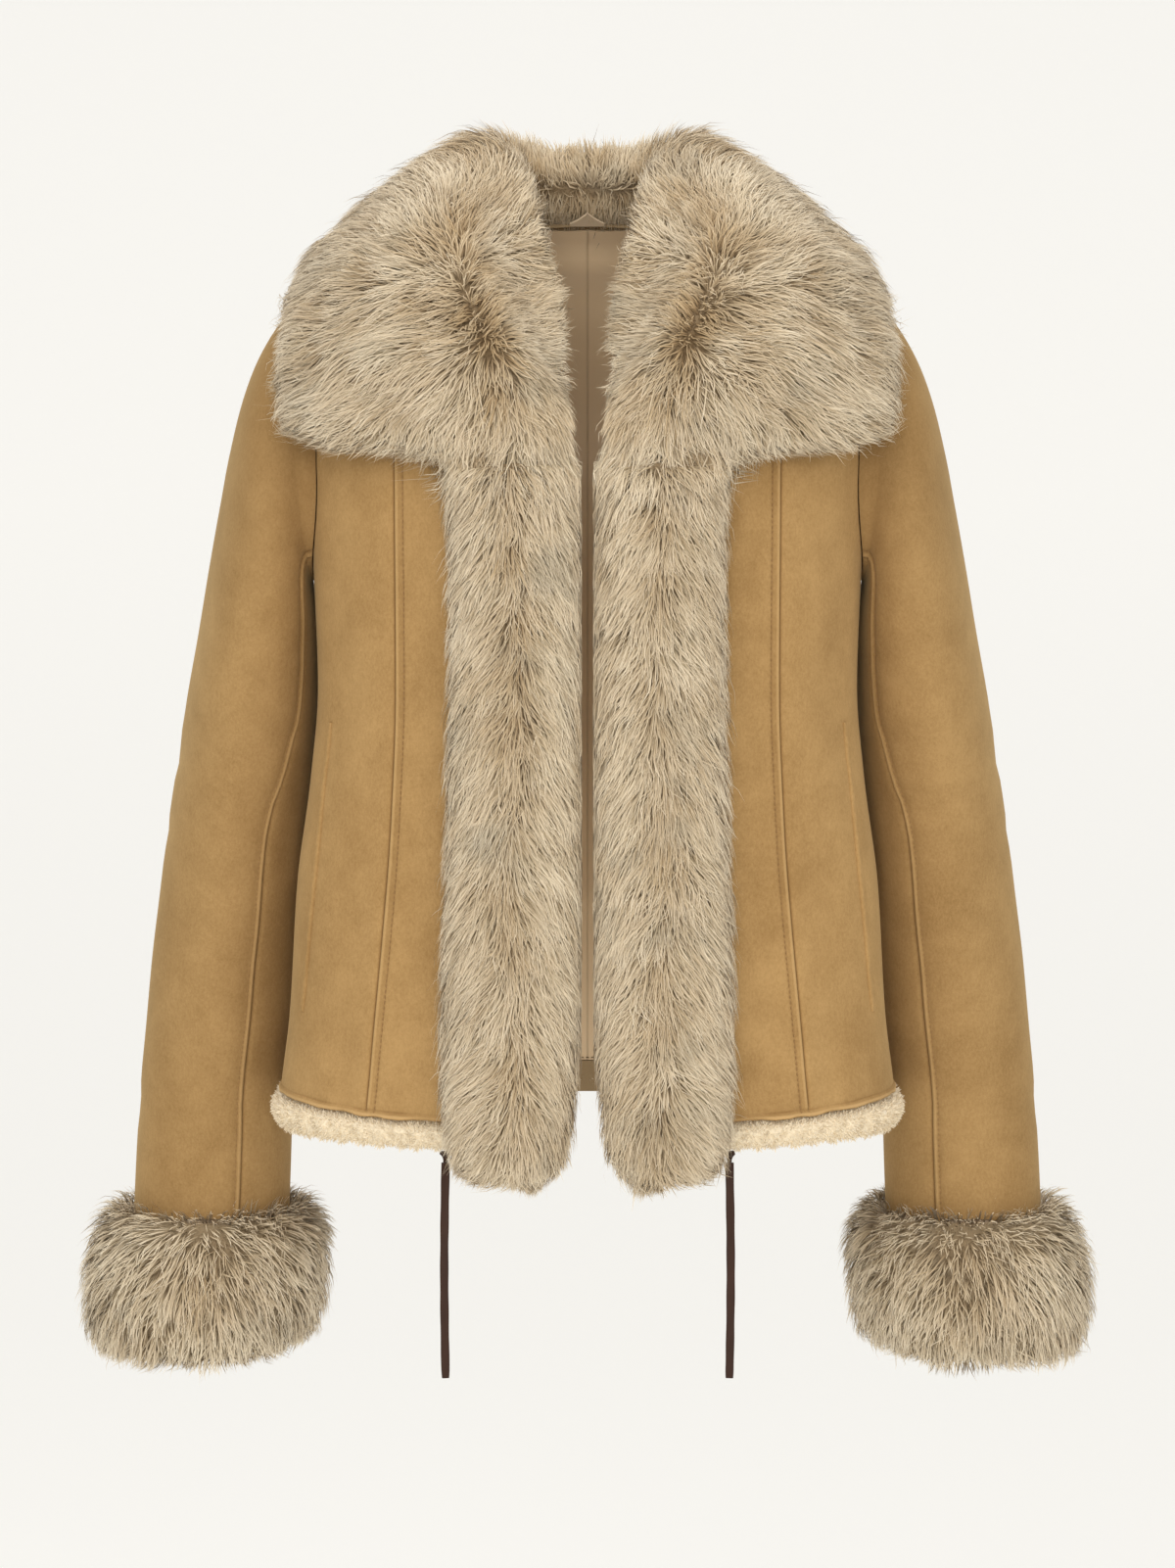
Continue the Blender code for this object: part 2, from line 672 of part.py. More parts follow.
def build_bands():
    """Fur band down each front edge, lying on the front panel and wrapping its edge."""
    outer_x = curve_of(BAND, "z", "outer_x")
    inner_x = curve_of(BAND, "z", "inner_x")
    thick = curve_of(BAND, "z", "thick")
    rings = []
    for row in range(BAND_ROWS + 1):
        share = row / BAND_ROWS
        z = mixed(BAND_TOP_Z, BAND_END_Z, share + BAND_ROW_SPREAD * math.sin(math.pi * share))
        ring = []
        base_inner = FRONT_EDGE_X - BAND_BASE_WRAP
        base_outer = outer_x(z) - BAND_BASE_INSET
        for x in (base_inner, mixed(base_inner, base_outer, 0.5), base_outer):
            away = depth_at(x, half_width(z), front_depth(z), front_power(z))
            ring.append(np.array([x, -away - BAND_BASE, z]))
        for j, pile in enumerate(BAND_PILE):
            x = mixed(inner_x(z), outer_x(z), pile.across)
            away = depth_at(x, half_width(z), front_depth(z), front_power(z))
            inside = 0 < row < BAND_ROWS and pile.rise > BAND_TUFT_FROM
            tuft = TUFT_HEIGHT * math.cos(math.pi * (row + j)) if inside else 0.0
            ring.append(np.array([x, -away - BAND_BASE - pile.rise * thick(z) - tuft, z]))
        rings.append(ring)
    add_pair("fur_band", *tube(rings), "fox_fur")


def collar_rings():
    """The closed section of the collar at each station."""
    rings = []
    for number, station in enumerate(COLLAR):
        def form(along, rise):
            x = mixed(station.neck_x, station.edge_x, along)
            roll = math.radians(mixed(station.neck_angle, station.edge_angle, along))
            place = collar_point(x, roll)
            return place + normal_of(collar_point, x, roll, STEP_X, STEP_ANGLE) * rise

        ring = [form(step / COLLAR_UNDER_STEPS, 0.0) for step in range(COLLAR_UNDER_STEPS + 1)]
        outward = unit(form(1.0, 0.0) - form(0.97, 0.0))
        ring.append(form(1.0, COLLAR_EDGE_RISE * station.thick) + outward * station.tip)
        for j, share in enumerate(COLLAR_OVER):
            tuft = TUFT_HEIGHT * math.cos(math.pi * (number + j)) if station.tip else 0.0
            ring.append(form(share.along, share.rise * station.thick + tuft))
        neck = form(0.0, 0.0)
        turn = math.radians(station.lip_turn)
        inward = np.array([-math.cos(turn), -math.sin(turn), 0.0])
        for lip in COLLAR_LIP:
            ring.append(neck + inward * lip.inward * station.lip + np.array([0, 0, lip.up * station.lift]))
        rings.append(ring)
    return rings


def flattened(rings, number):
    """A ring laid on the upright plane across the loft there, and that plane's normal."""
    ahead = np.mean(rings[number + 1], axis=0) - np.mean(rings[number - 1], axis=0)
    normal = unit(ahead * np.array([1.0, 1.0, 0.0]))
    middle = np.mean(rings[number], axis=0)
    return [point - ((point - middle) @ normal) * normal for point in rings[number]], normal


def build_collar():
    """Left and right halves from the opening to behind the shoulder, and the back between them."""
    rings = collar_rings()
    split = COLLAR_SPLIT
    parting, ahead = flattened(rings, split)
    side = rings[:split] + [[point - ahead * SEAM_INSET for point in parting]]
    add_pair("fur_collar", *tube(side), "fox_fur")
    back = [[point + ahead * SEAM_INSET for point in parting]] + rings[split + 1:]
    flip = np.array([-1.0, 1.0, 1.0])
    far = [[point * flip for point in ring] for ring in back[:-1]]
    add_piece("fur_collar_back", *tube(far + back[::-1]), "fox_fur")


def hem_ring(angle, end_z, reach_in, number):
    """Section of the shearling roll under the hem at one ring angle."""
    ring = []
    side = seam_angle(HEM_Z)
    past_side = min(max(min(angle - side, 2 * math.pi - side - angle) / HEM_FADE, 0.0), 1.0)
    reach_out = mixed(HEM_OUT, HEM_OUT_BEHIND, past_side)
    for fur in HEM_ROLL:
        z = mixed(HEM_TOP_Z, end_z, fur.z)
        place, normal = lower_spot(angle, z)
        tufted = fur.z > HEM_TUFT_DOWN and fur.out > HEM_TUFT_OUT
        tuft = HEM_TUFT * math.cos(math.pi * number) if tufted else 0.0
        ring.append(place + normal * (mixed(-reach_in, reach_out, fur.out) + tuft))
    return ring


def build_hem():
    """Shearling roll under the fronts and the back."""
    start = angle_at(HEM_START_X, HEM_Z)
    side = seam_angle(HEM_Z)
    gap = SEAM_INSET / half_width(HEM_Z)
    angles = np.linspace(start, side - gap, HEM_FRONT_RINGS)
    rings = [hem_ring(angle, HEM_FRONT_END_Z, HEM_REACH_IN, i) for i, angle in enumerate(angles)]
    add_pair("hem_shearling_front", *tube(rings), "shearling")
    angles = np.linspace(side + gap, 2 * math.pi - side - gap, HEM_BACK_RINGS)
    rings = [hem_ring(angle, HEM_BACK_END_Z, HEM_REACH_IN_BEHIND, i) for i, angle in enumerate(angles)]
    add_piece("hem_shearling_back", *tube(rings), "shearling")


def build_lining():
    """Back lining in two halves, and the facing that finishes the inside of the back hem."""
    outer = -SUEDE_WALL - LAYER_GAP
    columns = back_columns() + side_columns(True)
    for column in columns:
        first, second = column[:2]
        share = (LINING_END_Z - HEM_Z) / (second[0][2] - first[0][2])
        column[0] = (mixed(first[0], second[0], share), unit(mixed(first[1], second[1], share)))
    add_pair("back_lining", *panel(columns, outer, outer - LINING_WALL), "satin_lining")
    strip = []
    for angle_of in back_lines():
        levels = (FACING_END_Z, HEM_Z, LINING_END_Z - FACING_GAP)
        strip.append([lower_spot(angle_of(z), z) for z in levels])
    add_piece("hem_facing", *panel(both_halves(strip), outer, outer - FACING_WALL), "satin_lining")


def build_tab():
    """Hanger tab, a short strap across the back neck inside the lining."""
    depth = -SUEDE_WALL - LAYER_GAP - LINING_WALL - LAYER_GAP
    columns = []
    top = math.pi - back_roll(0.0) + TAB_DROP
    drop = TAB_HEIGHT / depth_at(0, half_width(YOKE_Z), back_depth(YOKE_Z), back_power(YOKE_Z))
    for x in np.linspace(-TAB_WIDTH / 2, TAB_WIDTH / 2, TAB_COLUMNS):
        columns.append([upper_spot(x, roll) for roll in (top + drop, top)])
    add_piece("hanger_tab", *panel(columns, depth, depth - TAB_WALL), "suede")


def build_welts():
    """A raised pocket welt on each side front."""
    columns = []
    for side in (-0.5, 0.0, 0.5):
        column = []
        for share in np.linspace(0, 1, WELT_ROWS):
            z = mixed(WELT_TOP.z, WELT_END.z, share)
            x = mixed(WELT_TOP.x, WELT_END.x, share)
            angle = angle_at(x, z) + side * WELT_WIDTH / half_width(z)
            column.append(lower_spot(angle, z))
        columns.append(column)
    add_pair("pocket_welt", *panel(columns, WELT_LIFT + WELT_RAISE, WELT_LIFT), "suede")


def build_ties():
    """A knot under the hem end and the thong that hangs from it, on each side."""
    rings = []
    for level in TIE_KNOT:
        ring = []
        radius = level.size * TIE_KNOT_RADIUS
        for i in range(KNOT_SIDES):
            turn = 2 * math.pi * i / KNOT_SIDES
            x = TIE_X + radius * math.cos(turn)
            y = TIE_Y + radius * TIE_KNOT_FLATNESS * math.sin(turn)
            ring.append(np.array([x, y, TIE_KNOT_TOP - level.down * TIE_KNOT_HEIGHT]))
        rings.append(ring)
    add_pair("tie_knot", *tube(rings), "leather_tie")
    start = TIE_KNOT_TOP - TIE_KNOT_HEIGHT - TIE_GAP
    for name, side in (("leather_tie_R", 1), ("leather_tie_L", -1)):
        curve = bpy.data.curves.new(name, "CURVE")
        curve.dimensions = "3D"
        curve.bevel_depth = TIE_WIDTH / 2 * MM
        curve.bevel_resolution = 2
        curve.use_fill_caps = True
        curve.materials.append(material_of("leather_tie"))
        spline = curve.splines.new("POLY")
        spline.points.add(TIE_POINTS - 1)
        for i, point in enumerate(spline.points):
            share = i / (TIE_POINTS - 1)
            x = side * (TIE_X + TIE_SWAY * math.sin(math.pi * share))
            point.co = (x * MM, TIE_Y * MM, mixed(start, TIE_END_Z, share) * MM, 1.0)
        piece = bpy.data.objects.new(name, curve)
        bpy.context.scene.collection.objects.link(piece)


def main():
    for item in list(bpy.data.objects):
        bpy.data.objects.remove(item)
    build_body()
    build_sleeves()
    build_cuffs()
    build_bands()
    build_collar()
    build_hem()
    build_lining()
    build_tab()
    build_welts()
    build_ties()


main()
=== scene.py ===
import json
import math
import bmesh
import bpy
import numpy as np
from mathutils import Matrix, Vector
from mathutils.bvhtree import BVHTree
from mathutils.kdtree import KDTree

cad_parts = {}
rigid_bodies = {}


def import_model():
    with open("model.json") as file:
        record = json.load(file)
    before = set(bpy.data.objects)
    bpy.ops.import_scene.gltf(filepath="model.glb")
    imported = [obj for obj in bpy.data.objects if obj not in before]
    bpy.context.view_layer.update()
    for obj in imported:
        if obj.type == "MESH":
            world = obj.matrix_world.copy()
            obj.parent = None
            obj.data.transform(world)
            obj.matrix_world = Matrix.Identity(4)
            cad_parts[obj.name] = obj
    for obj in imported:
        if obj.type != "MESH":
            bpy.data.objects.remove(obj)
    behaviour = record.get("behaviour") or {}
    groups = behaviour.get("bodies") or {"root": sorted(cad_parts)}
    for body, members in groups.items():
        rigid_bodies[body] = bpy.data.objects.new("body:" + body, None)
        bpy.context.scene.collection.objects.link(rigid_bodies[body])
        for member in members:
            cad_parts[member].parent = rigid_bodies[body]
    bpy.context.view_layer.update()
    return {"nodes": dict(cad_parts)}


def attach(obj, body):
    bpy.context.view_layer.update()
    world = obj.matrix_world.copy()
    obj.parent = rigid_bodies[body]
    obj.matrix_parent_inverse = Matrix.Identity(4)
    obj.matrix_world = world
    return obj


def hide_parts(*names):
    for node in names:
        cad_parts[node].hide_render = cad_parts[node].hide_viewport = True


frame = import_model()
mm = 0.001
scene = bpy.context.scene
scene.view_settings.view_transform = "Standard"  # colours as they were picked


# small helpers
def curveThrough(keys, values):
    # smooth curve through the points that never overshoots them
    order = np.argsort(keys)
    keys, values = np.array(keys, float)[order], np.array(values, float)[order]
    slopes = np.diff(values) / np.diff(keys)
    before, after = slopes[:-1], slopes[1:]
    both = before * after > 0
    middle = np.where(both, 2 * before * after / np.where(both, before + after, 1.0), 0.0)
    tangents = np.concatenate([slopes[:1], middle, slopes[-1:]])

    def read(at):
        at = np.clip(at, keys[0], keys[-1])
        i = np.clip(np.searchsorted(keys, at, side="right") - 1, 0, len(keys) - 2)
        width = keys[i + 1] - keys[i]
        t = (at - keys[i]) / width
        start = (1 + 2 * t) * (1 - t) ** 2 * values[i] + t * (1 - t) ** 2 * width * tangents[i]
        end = t * t * (3 - 2 * t) * values[i + 1] - t * t * (1 - t) * width * tangents[i + 1]
        return start + end

    return read


upAxis = np.array([0.0, 0.0, 1.0])


def mixed(start, end, share):
    return start + (end - start) * share


def unit(vectors):
    return vectors / np.maximum(np.linalg.norm(vectors, axis=-1, keepdims=True), 1e-12)


def ramp(value, low, high):
    # 0 below low, 1 above high, smooth between
    t = np.clip((value - low) / (high - low), 0, 1)
    return t * t * (3 - 2 * t)


def linear(red, green, blue):
    # sRGB levels to the linear colour that shaders take
    return tuple(((v / 255 + 0.055) / 1.055) ** 2.4 if v > 10 else v / 255 / 12.92 for v in (red, green, blue))


def softNoise(points, size, seed):
    # smooth noise from -1 to 1 at points, from a few turned waves of about this size
    rng = np.random.default_rng(seed)
    total = np.zeros(points.shape[:-1])
    for octave in range(6):
        way = unit(rng.normal(size=3))
        length = size * rng.uniform(0.7, 1.6)
        bend = unit(rng.normal(size=3))
        warp = 0.8 * np.sin(points @ bend * (2 * math.pi / (size * 2.3)) + rng.uniform(0, 6.3))
        total += np.sin(points @ way * (2 * math.pi / length) + warp + rng.uniform(0, 6.3))
    return total / 3.2


def meshPiece(name, points, faces, materials, uv=None, slots=None, uvName="cloth", sharp=50):
    # points in millimetres; faces as one array of equal corner counts or a list
    mesh = bpy.data.meshes.new(name)
    points = np.asarray(points, float) * mm
    if isinstance(faces, np.ndarray):
        corners = faces.shape[1]
        mesh.vertices.add(len(points))
        mesh.vertices.foreach_set("co", points.astype(np.float32).ravel())
        mesh.loops.add(faces.size)
        mesh.loops.foreach_set("vertex_index", faces.astype(np.int32).ravel())
        mesh.polygons.add(len(faces))
        mesh.polygons.foreach_set("loop_start", np.arange(0, faces.size, corners, dtype=np.int32))
    else:
        mesh.from_pydata(points.tolist(), [], faces)
    for material in materials:
        mesh.materials.append(material)
    if slots is not None:
        mesh.polygons.foreach_set("material_index", np.asarray(slots, np.int32))
    if uv is not None:
        layer = mesh.uv_layers.new(name=uvName)
        loops = np.zeros(len(mesh.loops), np.int32)
        mesh.loops.foreach_get("vertex_index", loops)
        layer.data.foreach_set("uv", np.asarray(uv, np.float32)[loops].ravel())
    mesh.update(calc_edges=True)
    mesh.validate()
    mesh.shade_smooth()
    if sharp:
        mesh.set_sharp_from_angle(angle=math.radians(sharp))
    piece = bpy.data.objects.new(name, mesh)
    scene.collection.objects.link(piece)
    return piece


def loopFaces(rows, count, joined=False):
    # quads between rings of count points, and from the last ring to the first where joined
    return [(i * count + j, i * count + (j + 1) % count,
             (i + 1) % rows * count + (j + 1) % count, (i + 1) % rows * count + j)
            for i in range(rows if joined else rows - 1) for j in range(count)]


def fixNormals(piece):
    # faces outwards on a closed piece
    build = bmesh.new()
    build.from_mesh(piece.data)
    bmesh.ops.recalc_face_normals(build, faces=build.faces)
    build.to_mesh(piece.data)
    build.free()


def claim(piece, slot, *nodes):
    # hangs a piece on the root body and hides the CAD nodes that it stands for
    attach(piece, "root")
    if nodes:
        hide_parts(*nodes)


# materials
class Wire:
    # a shader value that can be written as maths
    def __init__(self, tree, socket):
        self.tree, self.socket = tree, socket

    def maths(self, operation, other, flip=False):
        node = self.tree.nodes.new("ShaderNodeMath")
        node.operation = operation
        for slot, value in zip((1, 0) if flip else (0, 1), (self, other)):
            if isinstance(value, Wire):
                self.tree.links.new(value.socket, node.inputs[slot])
            else:
                node.inputs[slot].default_value = value
        return Wire(self.tree, node.outputs[0])

    def __add__(self, other):
        return self.maths("ADD", other)

    __radd__ = __add__

    def __sub__(self, other):
        return self.maths("SUBTRACT", other)

    def __rsub__(self, other):
        return self.maths("SUBTRACT", other, flip=True)

    def __mul__(self, other):
        return self.maths("MULTIPLY", other)

    __rmul__ = __mul__


class Finish:
    # one material and its shader, with the nodes that feed it
    def __init__(self, name, **constants):
        self.material = bpy.data.materials.new(name)
        self.material.use_nodes = True
        self.tree = self.material.node_tree
        self.shader = self.tree.nodes["Principled BSDF"]
        for socket, value in constants.items():
            self.shader.inputs[socket.replace("_", " ")].default_value = value

    def node(self, kind, settings=None, **sockets):
        made = self.tree.nodes.new("ShaderNode" + kind)
        for key, value in (settings or {}).items():
            if key == "stops":
                ends = made.color_ramp.elements
                while len(ends) < len(value):
                    ends.new(0.5)
                for end, (place, colour) in zip(ends, value):
                    end.position = place
                    end.color = (*colour, 1.0)
            else:
                setattr(made, key, value)
        for key, value in sockets.items():
            if isinstance(value, Wire):
                self.tree.links.new(value.socket, made.inputs[key])
            else:
                made.inputs[key].default_value = value
        return made

    def wire(self, made, output=0):
        return Wire(self.tree, made.outputs[output])

    def place(self):
        return self.wire(self.node("TexCoord"), "Object")

    def noise(self, vector, scale, detail, roughness, distortion=0.0):
        made = self.node("TexNoise", Vector=vector, Scale=scale, Detail=detail,
                         Roughness=roughness, Distortion=distortion)
        return self.wire(made, "Fac")

    def stretched(self, vector, scale):
        return self.wire(self.node("Mapping", {}, Vector=vector, Scale=scale))

    def blend(self, factor, first, second):
        made = self.node("Mix", {"data_type": "RGBA"})
        for key, value in ((0, factor), (6, first), (7, second)):  # the sockets of a colour mix
            if isinstance(value, Wire):
                self.tree.links.new(value.socket, made.inputs[key])
            else:
                made.inputs[key].default_value = value if key == 0 else (*value, 1.0)
        return Wire(self.tree, made.outputs[2])

    def clamp(self, value):
        return self.wire(self.node("Clamp", Value=value))

    def bump(self, height, strength, distance):
        return self.wire(self.node("Bump", Height=height, Strength=strength, Distance=distance))

    def feed(self, **sockets):
        for key, value in sockets.items():
            self.tree.links.new(value.socket, self.shader.inputs[key.replace("_", " ")])
        return self.material


# suede colours; the last two follow the seams' relief: darker along the seam lines and where the cloth sinks beside
# them, also taking the painted shade on the sleeve tops, and paler where the welts and the hem's lip stand out
suedeTones = {"base": (160, 127, 81), "light": (176, 142, 94), "deep": (140, 108, 66), "darkSeamAndShade": (124, 93, 55),
              "palerTone": (187, 153, 105)}


def makeSuede(name, shade):
    look = {key: linear(*(level * shade for level in levels)) for key, levels in suedeTones.items()}
    finish = Finish(name, Roughness=0.93, Sheen_Weight=0.22, Sheen_Roughness=0.5,
                    Sheen_Tint=(0.95, 0.76, 0.42, 1.0), Specular_IOR_Level=0.1)
    place = finish.place()
    broad = finish.noise(finish.stretched(place, (1, 1, 0.7)), 14.0, 4.0, 0.6, 0.3)  # hand marks in the nap
    cloudy = finish.noise(place, 48.0, 3.0, 0.6)
    grain = finish.noise(place, 900.0, 2.0, 0.7)
    nap = finish.noise(finish.stretched(place, (1.6, 1.6, 1.0)), 380.0, 3.0, 0.65)
    mark = (broad - 0.5) * 1.7 + (cloudy - 0.5) * 1.1 + (nap - 0.5) * 1.3 + (grain - 0.5) * 0.9 + 0.5
    colour = finish.blend(finish.clamp(mark), look["deep"], look["light"])
    colour = finish.blend(0.3, colour, look["base"])
    # darker along the seam lines, where the cloth sinks beside them and under the painted shade on the sleeve tops;
    # paler where the welts and the hem's lip stand out
    wear = finish.wire(finish.node("Attribute", {"attribute_name": "wear"}), 2)
    colour = finish.blend(finish.clamp(wear * -0.65 - 0.05), colour, look["darkSeamAndShade"])
    colour = finish.blend(finish.clamp((wear - 0.55) * 0.9), colour, look["palerTone"])
    height = nap * 0.6 + grain * 0.4
    return finish.feed(Base_Color=colour, Normal=finish.bump(height, 0.35, 0.0004))


def makeFlesh():
    # the inner side of the skin where no lining covers it
    look = {"base": linear(196, 172, 134), "deep": linear(176, 150, 112)}
    finish = Finish("skinInside", Roughness=0.9, Sheen_Weight=0.3, Specular_IOR_Level=0.12)
    place = finish.place()
    cloudy = finish.noise(place, 40.0, 4.0, 0.6)
    pile = finish.noise(place, 520.0, 3.0, 0.65)
    colour = finish.blend(cloudy * 0.6 + pile * 0.4, look["deep"], look["base"])
    return finish.feed(Base_Color=colour, Normal=finish.bump(pile, 0.5, 0.0008))


clothTones = {
    "satin": {"base": (226, 198, 160), "light": (238, 212, 172), "seam": (96, 76, 52), "rough": 0.36},
    "facingCloth": {"base": (150, 126, 90), "light": (162, 138, 102), "seam": (80, 62, 40), "rough": 0.6},
    "tabCloth": {"base": (214, 192, 160), "light": (224, 204, 174), "seam": (120, 98, 70), "rough": 0.6},
}


def makeCloth(name):
    # woven cloth with its fine threads, darker at seams
    look = clothTones[name]
    finish = Finish(name, Sheen_Weight=0.12, Specular_IOR_Level=0.4)
    place = finish.place()
    cloudy = finish.noise(place, 16.0, 2.0, 0.5)
    thread = finish.noise(finish.stretched(place, (1.0, 1.0, 0.12)), 2200.0, 2.0, 0.6)
    colour = finish.blend(cloudy * 0.7 + thread * 0.3, linear(*look["base"]), linear(*look["light"]))
    wear = finish.wire(finish.node("Attribute", {"attribute_name": "wear"}), 2)
    colour = finish.blend(finish.clamp(wear * -1.6), colour, linear(*look["seam"]))
    return finish.feed(Base_Color=colour, Roughness=look["rough"] + thread * 0.14,
                       Normal=finish.bump(thread, 0.12, 0.0002))


furTones = {  # from root to tip, then the grey in the cool patches and the dark of the guard hairs
    "along": (0.0, 0.3, 0.75, 1.0),
    "pale": ((134, 114, 84), (192, 174, 143), (232, 217, 190), (242, 230, 206)),
    "brown": ((98, 76, 50), (146, 120, 85), (186, 160, 121), (208, 185, 148)),
    "grey": (150, 146, 132), "dark": (98, 82, 64),
}


def makeFur():
    # each hair carries its tone across its map and runs from root to tip up it
    finish = Finish("foxFur", Roughness=0.7, Sheen_Weight=0.12, Sheen_Roughness=0.5, Specular_IOR_Level=0.2)
    uv = finish.node("UVMap", {"uv_map": "strand"})
    parts = finish.node("SeparateXYZ", Vector=finish.wire(uv))
    tone, along = finish.wire(parts, 0), finish.wire(parts, 1)
    pale, brown = (
        finish.wire(finish.node("ValToRGB", {"stops": [(place, linear(*tone)) for place, tone
                                                       in zip(furTones["along"], furTones[kind])]}, Fac=along))
        for kind in ("pale", "brown"))
    place = finish.place()
    cool = finish.noise(place, 22.0, 2.0, 0.5)
    colour = finish.blend(tone, pale, brown)
    grey = finish.blend(0.5, colour, linear(*furTones["grey"]))
    colour = finish.blend(finish.clamp((cool - 0.56) * 3.0), colour, grey)
    dark = finish.clamp((tone - 1.1) * 4.0) * finish.clamp((along - 0.3) * 2.0)
    return finish.feed(Base_Color=finish.blend(dark, colour, linear(*furTones["dark"])))


def makeShearling():
    # the skin that the curly fibres stand on, and the fibres themselves
    look = {"light": linear(246, 233, 208), "base": linear(226, 210, 180)}
    finish = Finish("shearlingPile", Roughness=0.9, Sheen_Weight=0.4, Sheen_Roughness=0.5, Specular_IOR_Level=0.1)
    place = finish.place()
    curls = finish.noise(place, 260.0, 4.0, 0.6, 0.4)
    broad = finish.noise(place, 60.0, 2.0, 0.5)
    colour = finish.blend(curls * 0.5 + broad * 0.5, look["base"], look["light"])
    return finish.feed(Base_Color=colour, Normal=finish.bump(curls, 0.6, 0.0012))


def makeLeather():
    # dark thong, rubbed paler along its length
    look = {"base": linear(44, 25, 17), "edge": linear(66, 42, 30)}
    finish = Finish("leatherThong", Roughness=0.5, Specular_IOR_Level=0.22)
    place = finish.place()
    grain = finish.noise(finish.stretched(place, (1, 1, 0.25)), 900.0, 3.0, 0.6)
    palerTone = finish.noise(finish.stretched(place, (1, 1, 0.2)), 180.0, 2.0, 0.6)
    colour = finish.blend(palerTone * 0.9, look["base"], look["edge"])
    return finish.feed(Base_Color=colour, Roughness=0.4 + grain * 0.25, Normal=finish.bump(grain, 0.4, 0.0003))


def makeThread(name, colour):
    finish = Finish(name, Roughness=0.6)
    place = finish.place()
    twist = finish.noise(place, 1800.0, 1.0, 0.5)
    return finish.feed(Base_Color=finish.blend(twist, colour, tuple(min(c * 1.35, 1.0) for c in colour)))


finishes = {
    "suede": makeSuede("suede", 1.03),
    # the sleeves take a darker copy of the suede: a panel's own tone, and painted shade for the sleeves' lesser light
    "sleeveSuedeShaded": makeSuede("sleeveSuedeShaded", 0.985),
    "satin": makeCloth("satin"),
    "collarFur": makeFur(),
    "flesh": makeFlesh(),
    "facing": makeCloth("facingCloth"),
    "tab": makeCloth("tabCloth"),
    "shearling": makeShearling(),
    "leather": makeLeather(),
    "thread": makeThread("seamThread", linear(136, 102, 58)),
    "liningThread": makeThread("liningThread", linear(92, 74, 52)),
}
print("materials made")


# camera, first because the cords are judged by it
cameraPlan = {"distance": 2.4, "height": -0.208, "lens": 88.47, "shiftY": -0.159}
camera = bpy.data.objects.new("camera", bpy.data.cameras.new("camera"))
scene.collection.objects.link(camera)
camera.location = (0, -cameraPlan["distance"], cameraPlan["height"])
camera.rotation_euler = (math.pi / 2, 0, 0)
camera.data.lens = cameraPlan["lens"]
camera.data.shift_y = cameraPlan["shiftY"]
camera.data.clip_start, camera.data.clip_end = 0.1, 50
scene.camera = camera


# leather ties, one thong below each front hem end
tiePlan = {"x": 84.5, "y": -106.0, "top": -581.9, "end": -710.0, "sway": 0.8, "points": 12, "width": 5.0,
           "thick": 2.4, "twist": 0.25, "taper": 0.12, "uneven": 0.03, "rows": 60, "sides": 16}
knotPlan = {"radius": 1.35, "loop": 2.3, "height": 6.4, "middle": -577.6, "steps": 64, "sides": 10}


def tieRoute(side):
    # the same points as the thong's solid, in metres
    share = np.arange(tiePlan["points"]) / (tiePlan["points"] - 1)
    x = side * (tiePlan["x"] + tiePlan["sway"] * np.sin(math.pi * share))
    z = mixed(tiePlan["top"], tiePlan["end"], share)
    return np.stack([x, np.full_like(x, tiePlan["y"]), z], axis=1) * mm


def makeTie(name, side):
    # a flat thong with rounded edges, turned a little as it hangs
    route, sides = tieRoute(side), tiePlan["sides"]
    share = np.linspace(0, 1, tiePlan["rows"])
    line = np.stack([np.interp(share, np.linspace(0, 1, len(route)), route[:, i]) for i in range(3)], axis=1) / mm
    turn = 2 * math.pi * (np.arange(sides) + 0.5) / sides
    c, s = np.cos(turn), np.sin(turn)
    section = np.stack([tiePlan["width"] / 2 * np.copysign(np.abs(c) ** 0.35, c),
                        tiePlan["thick"] / 2 * np.copysign(np.abs(s) ** 0.45, s)], axis=1)
    points = []
    for t, place in zip(share, line):
        twist = tiePlan["twist"] * math.sin(3.0 * t + side)
        size = (1.0 - tiePlan["taper"] * ramp(t, 0.97, 1.0)) * (1 + tiePlan["uneven"] * math.sin(31 * t + side))
        across = np.array([math.cos(twist), math.sin(twist), 0.0])
        away = np.array([-math.sin(twist), math.cos(twist), 0.0])
        points.append(place + size * (section[:, :1] * across + section[:, 1:] * away))
    last = (tiePlan["rows"] - 1) * sides
    ends = [tuple(range(sides - 1, -1, -1)), tuple(range(last, last + sides))]
    piece = meshPiece(name, np.concatenate(points), loopFaces(tiePlan["rows"], sides) + ends,
                      [finishes["leather"]], sharp=40)
    fixNormals(piece)
    return piece, route


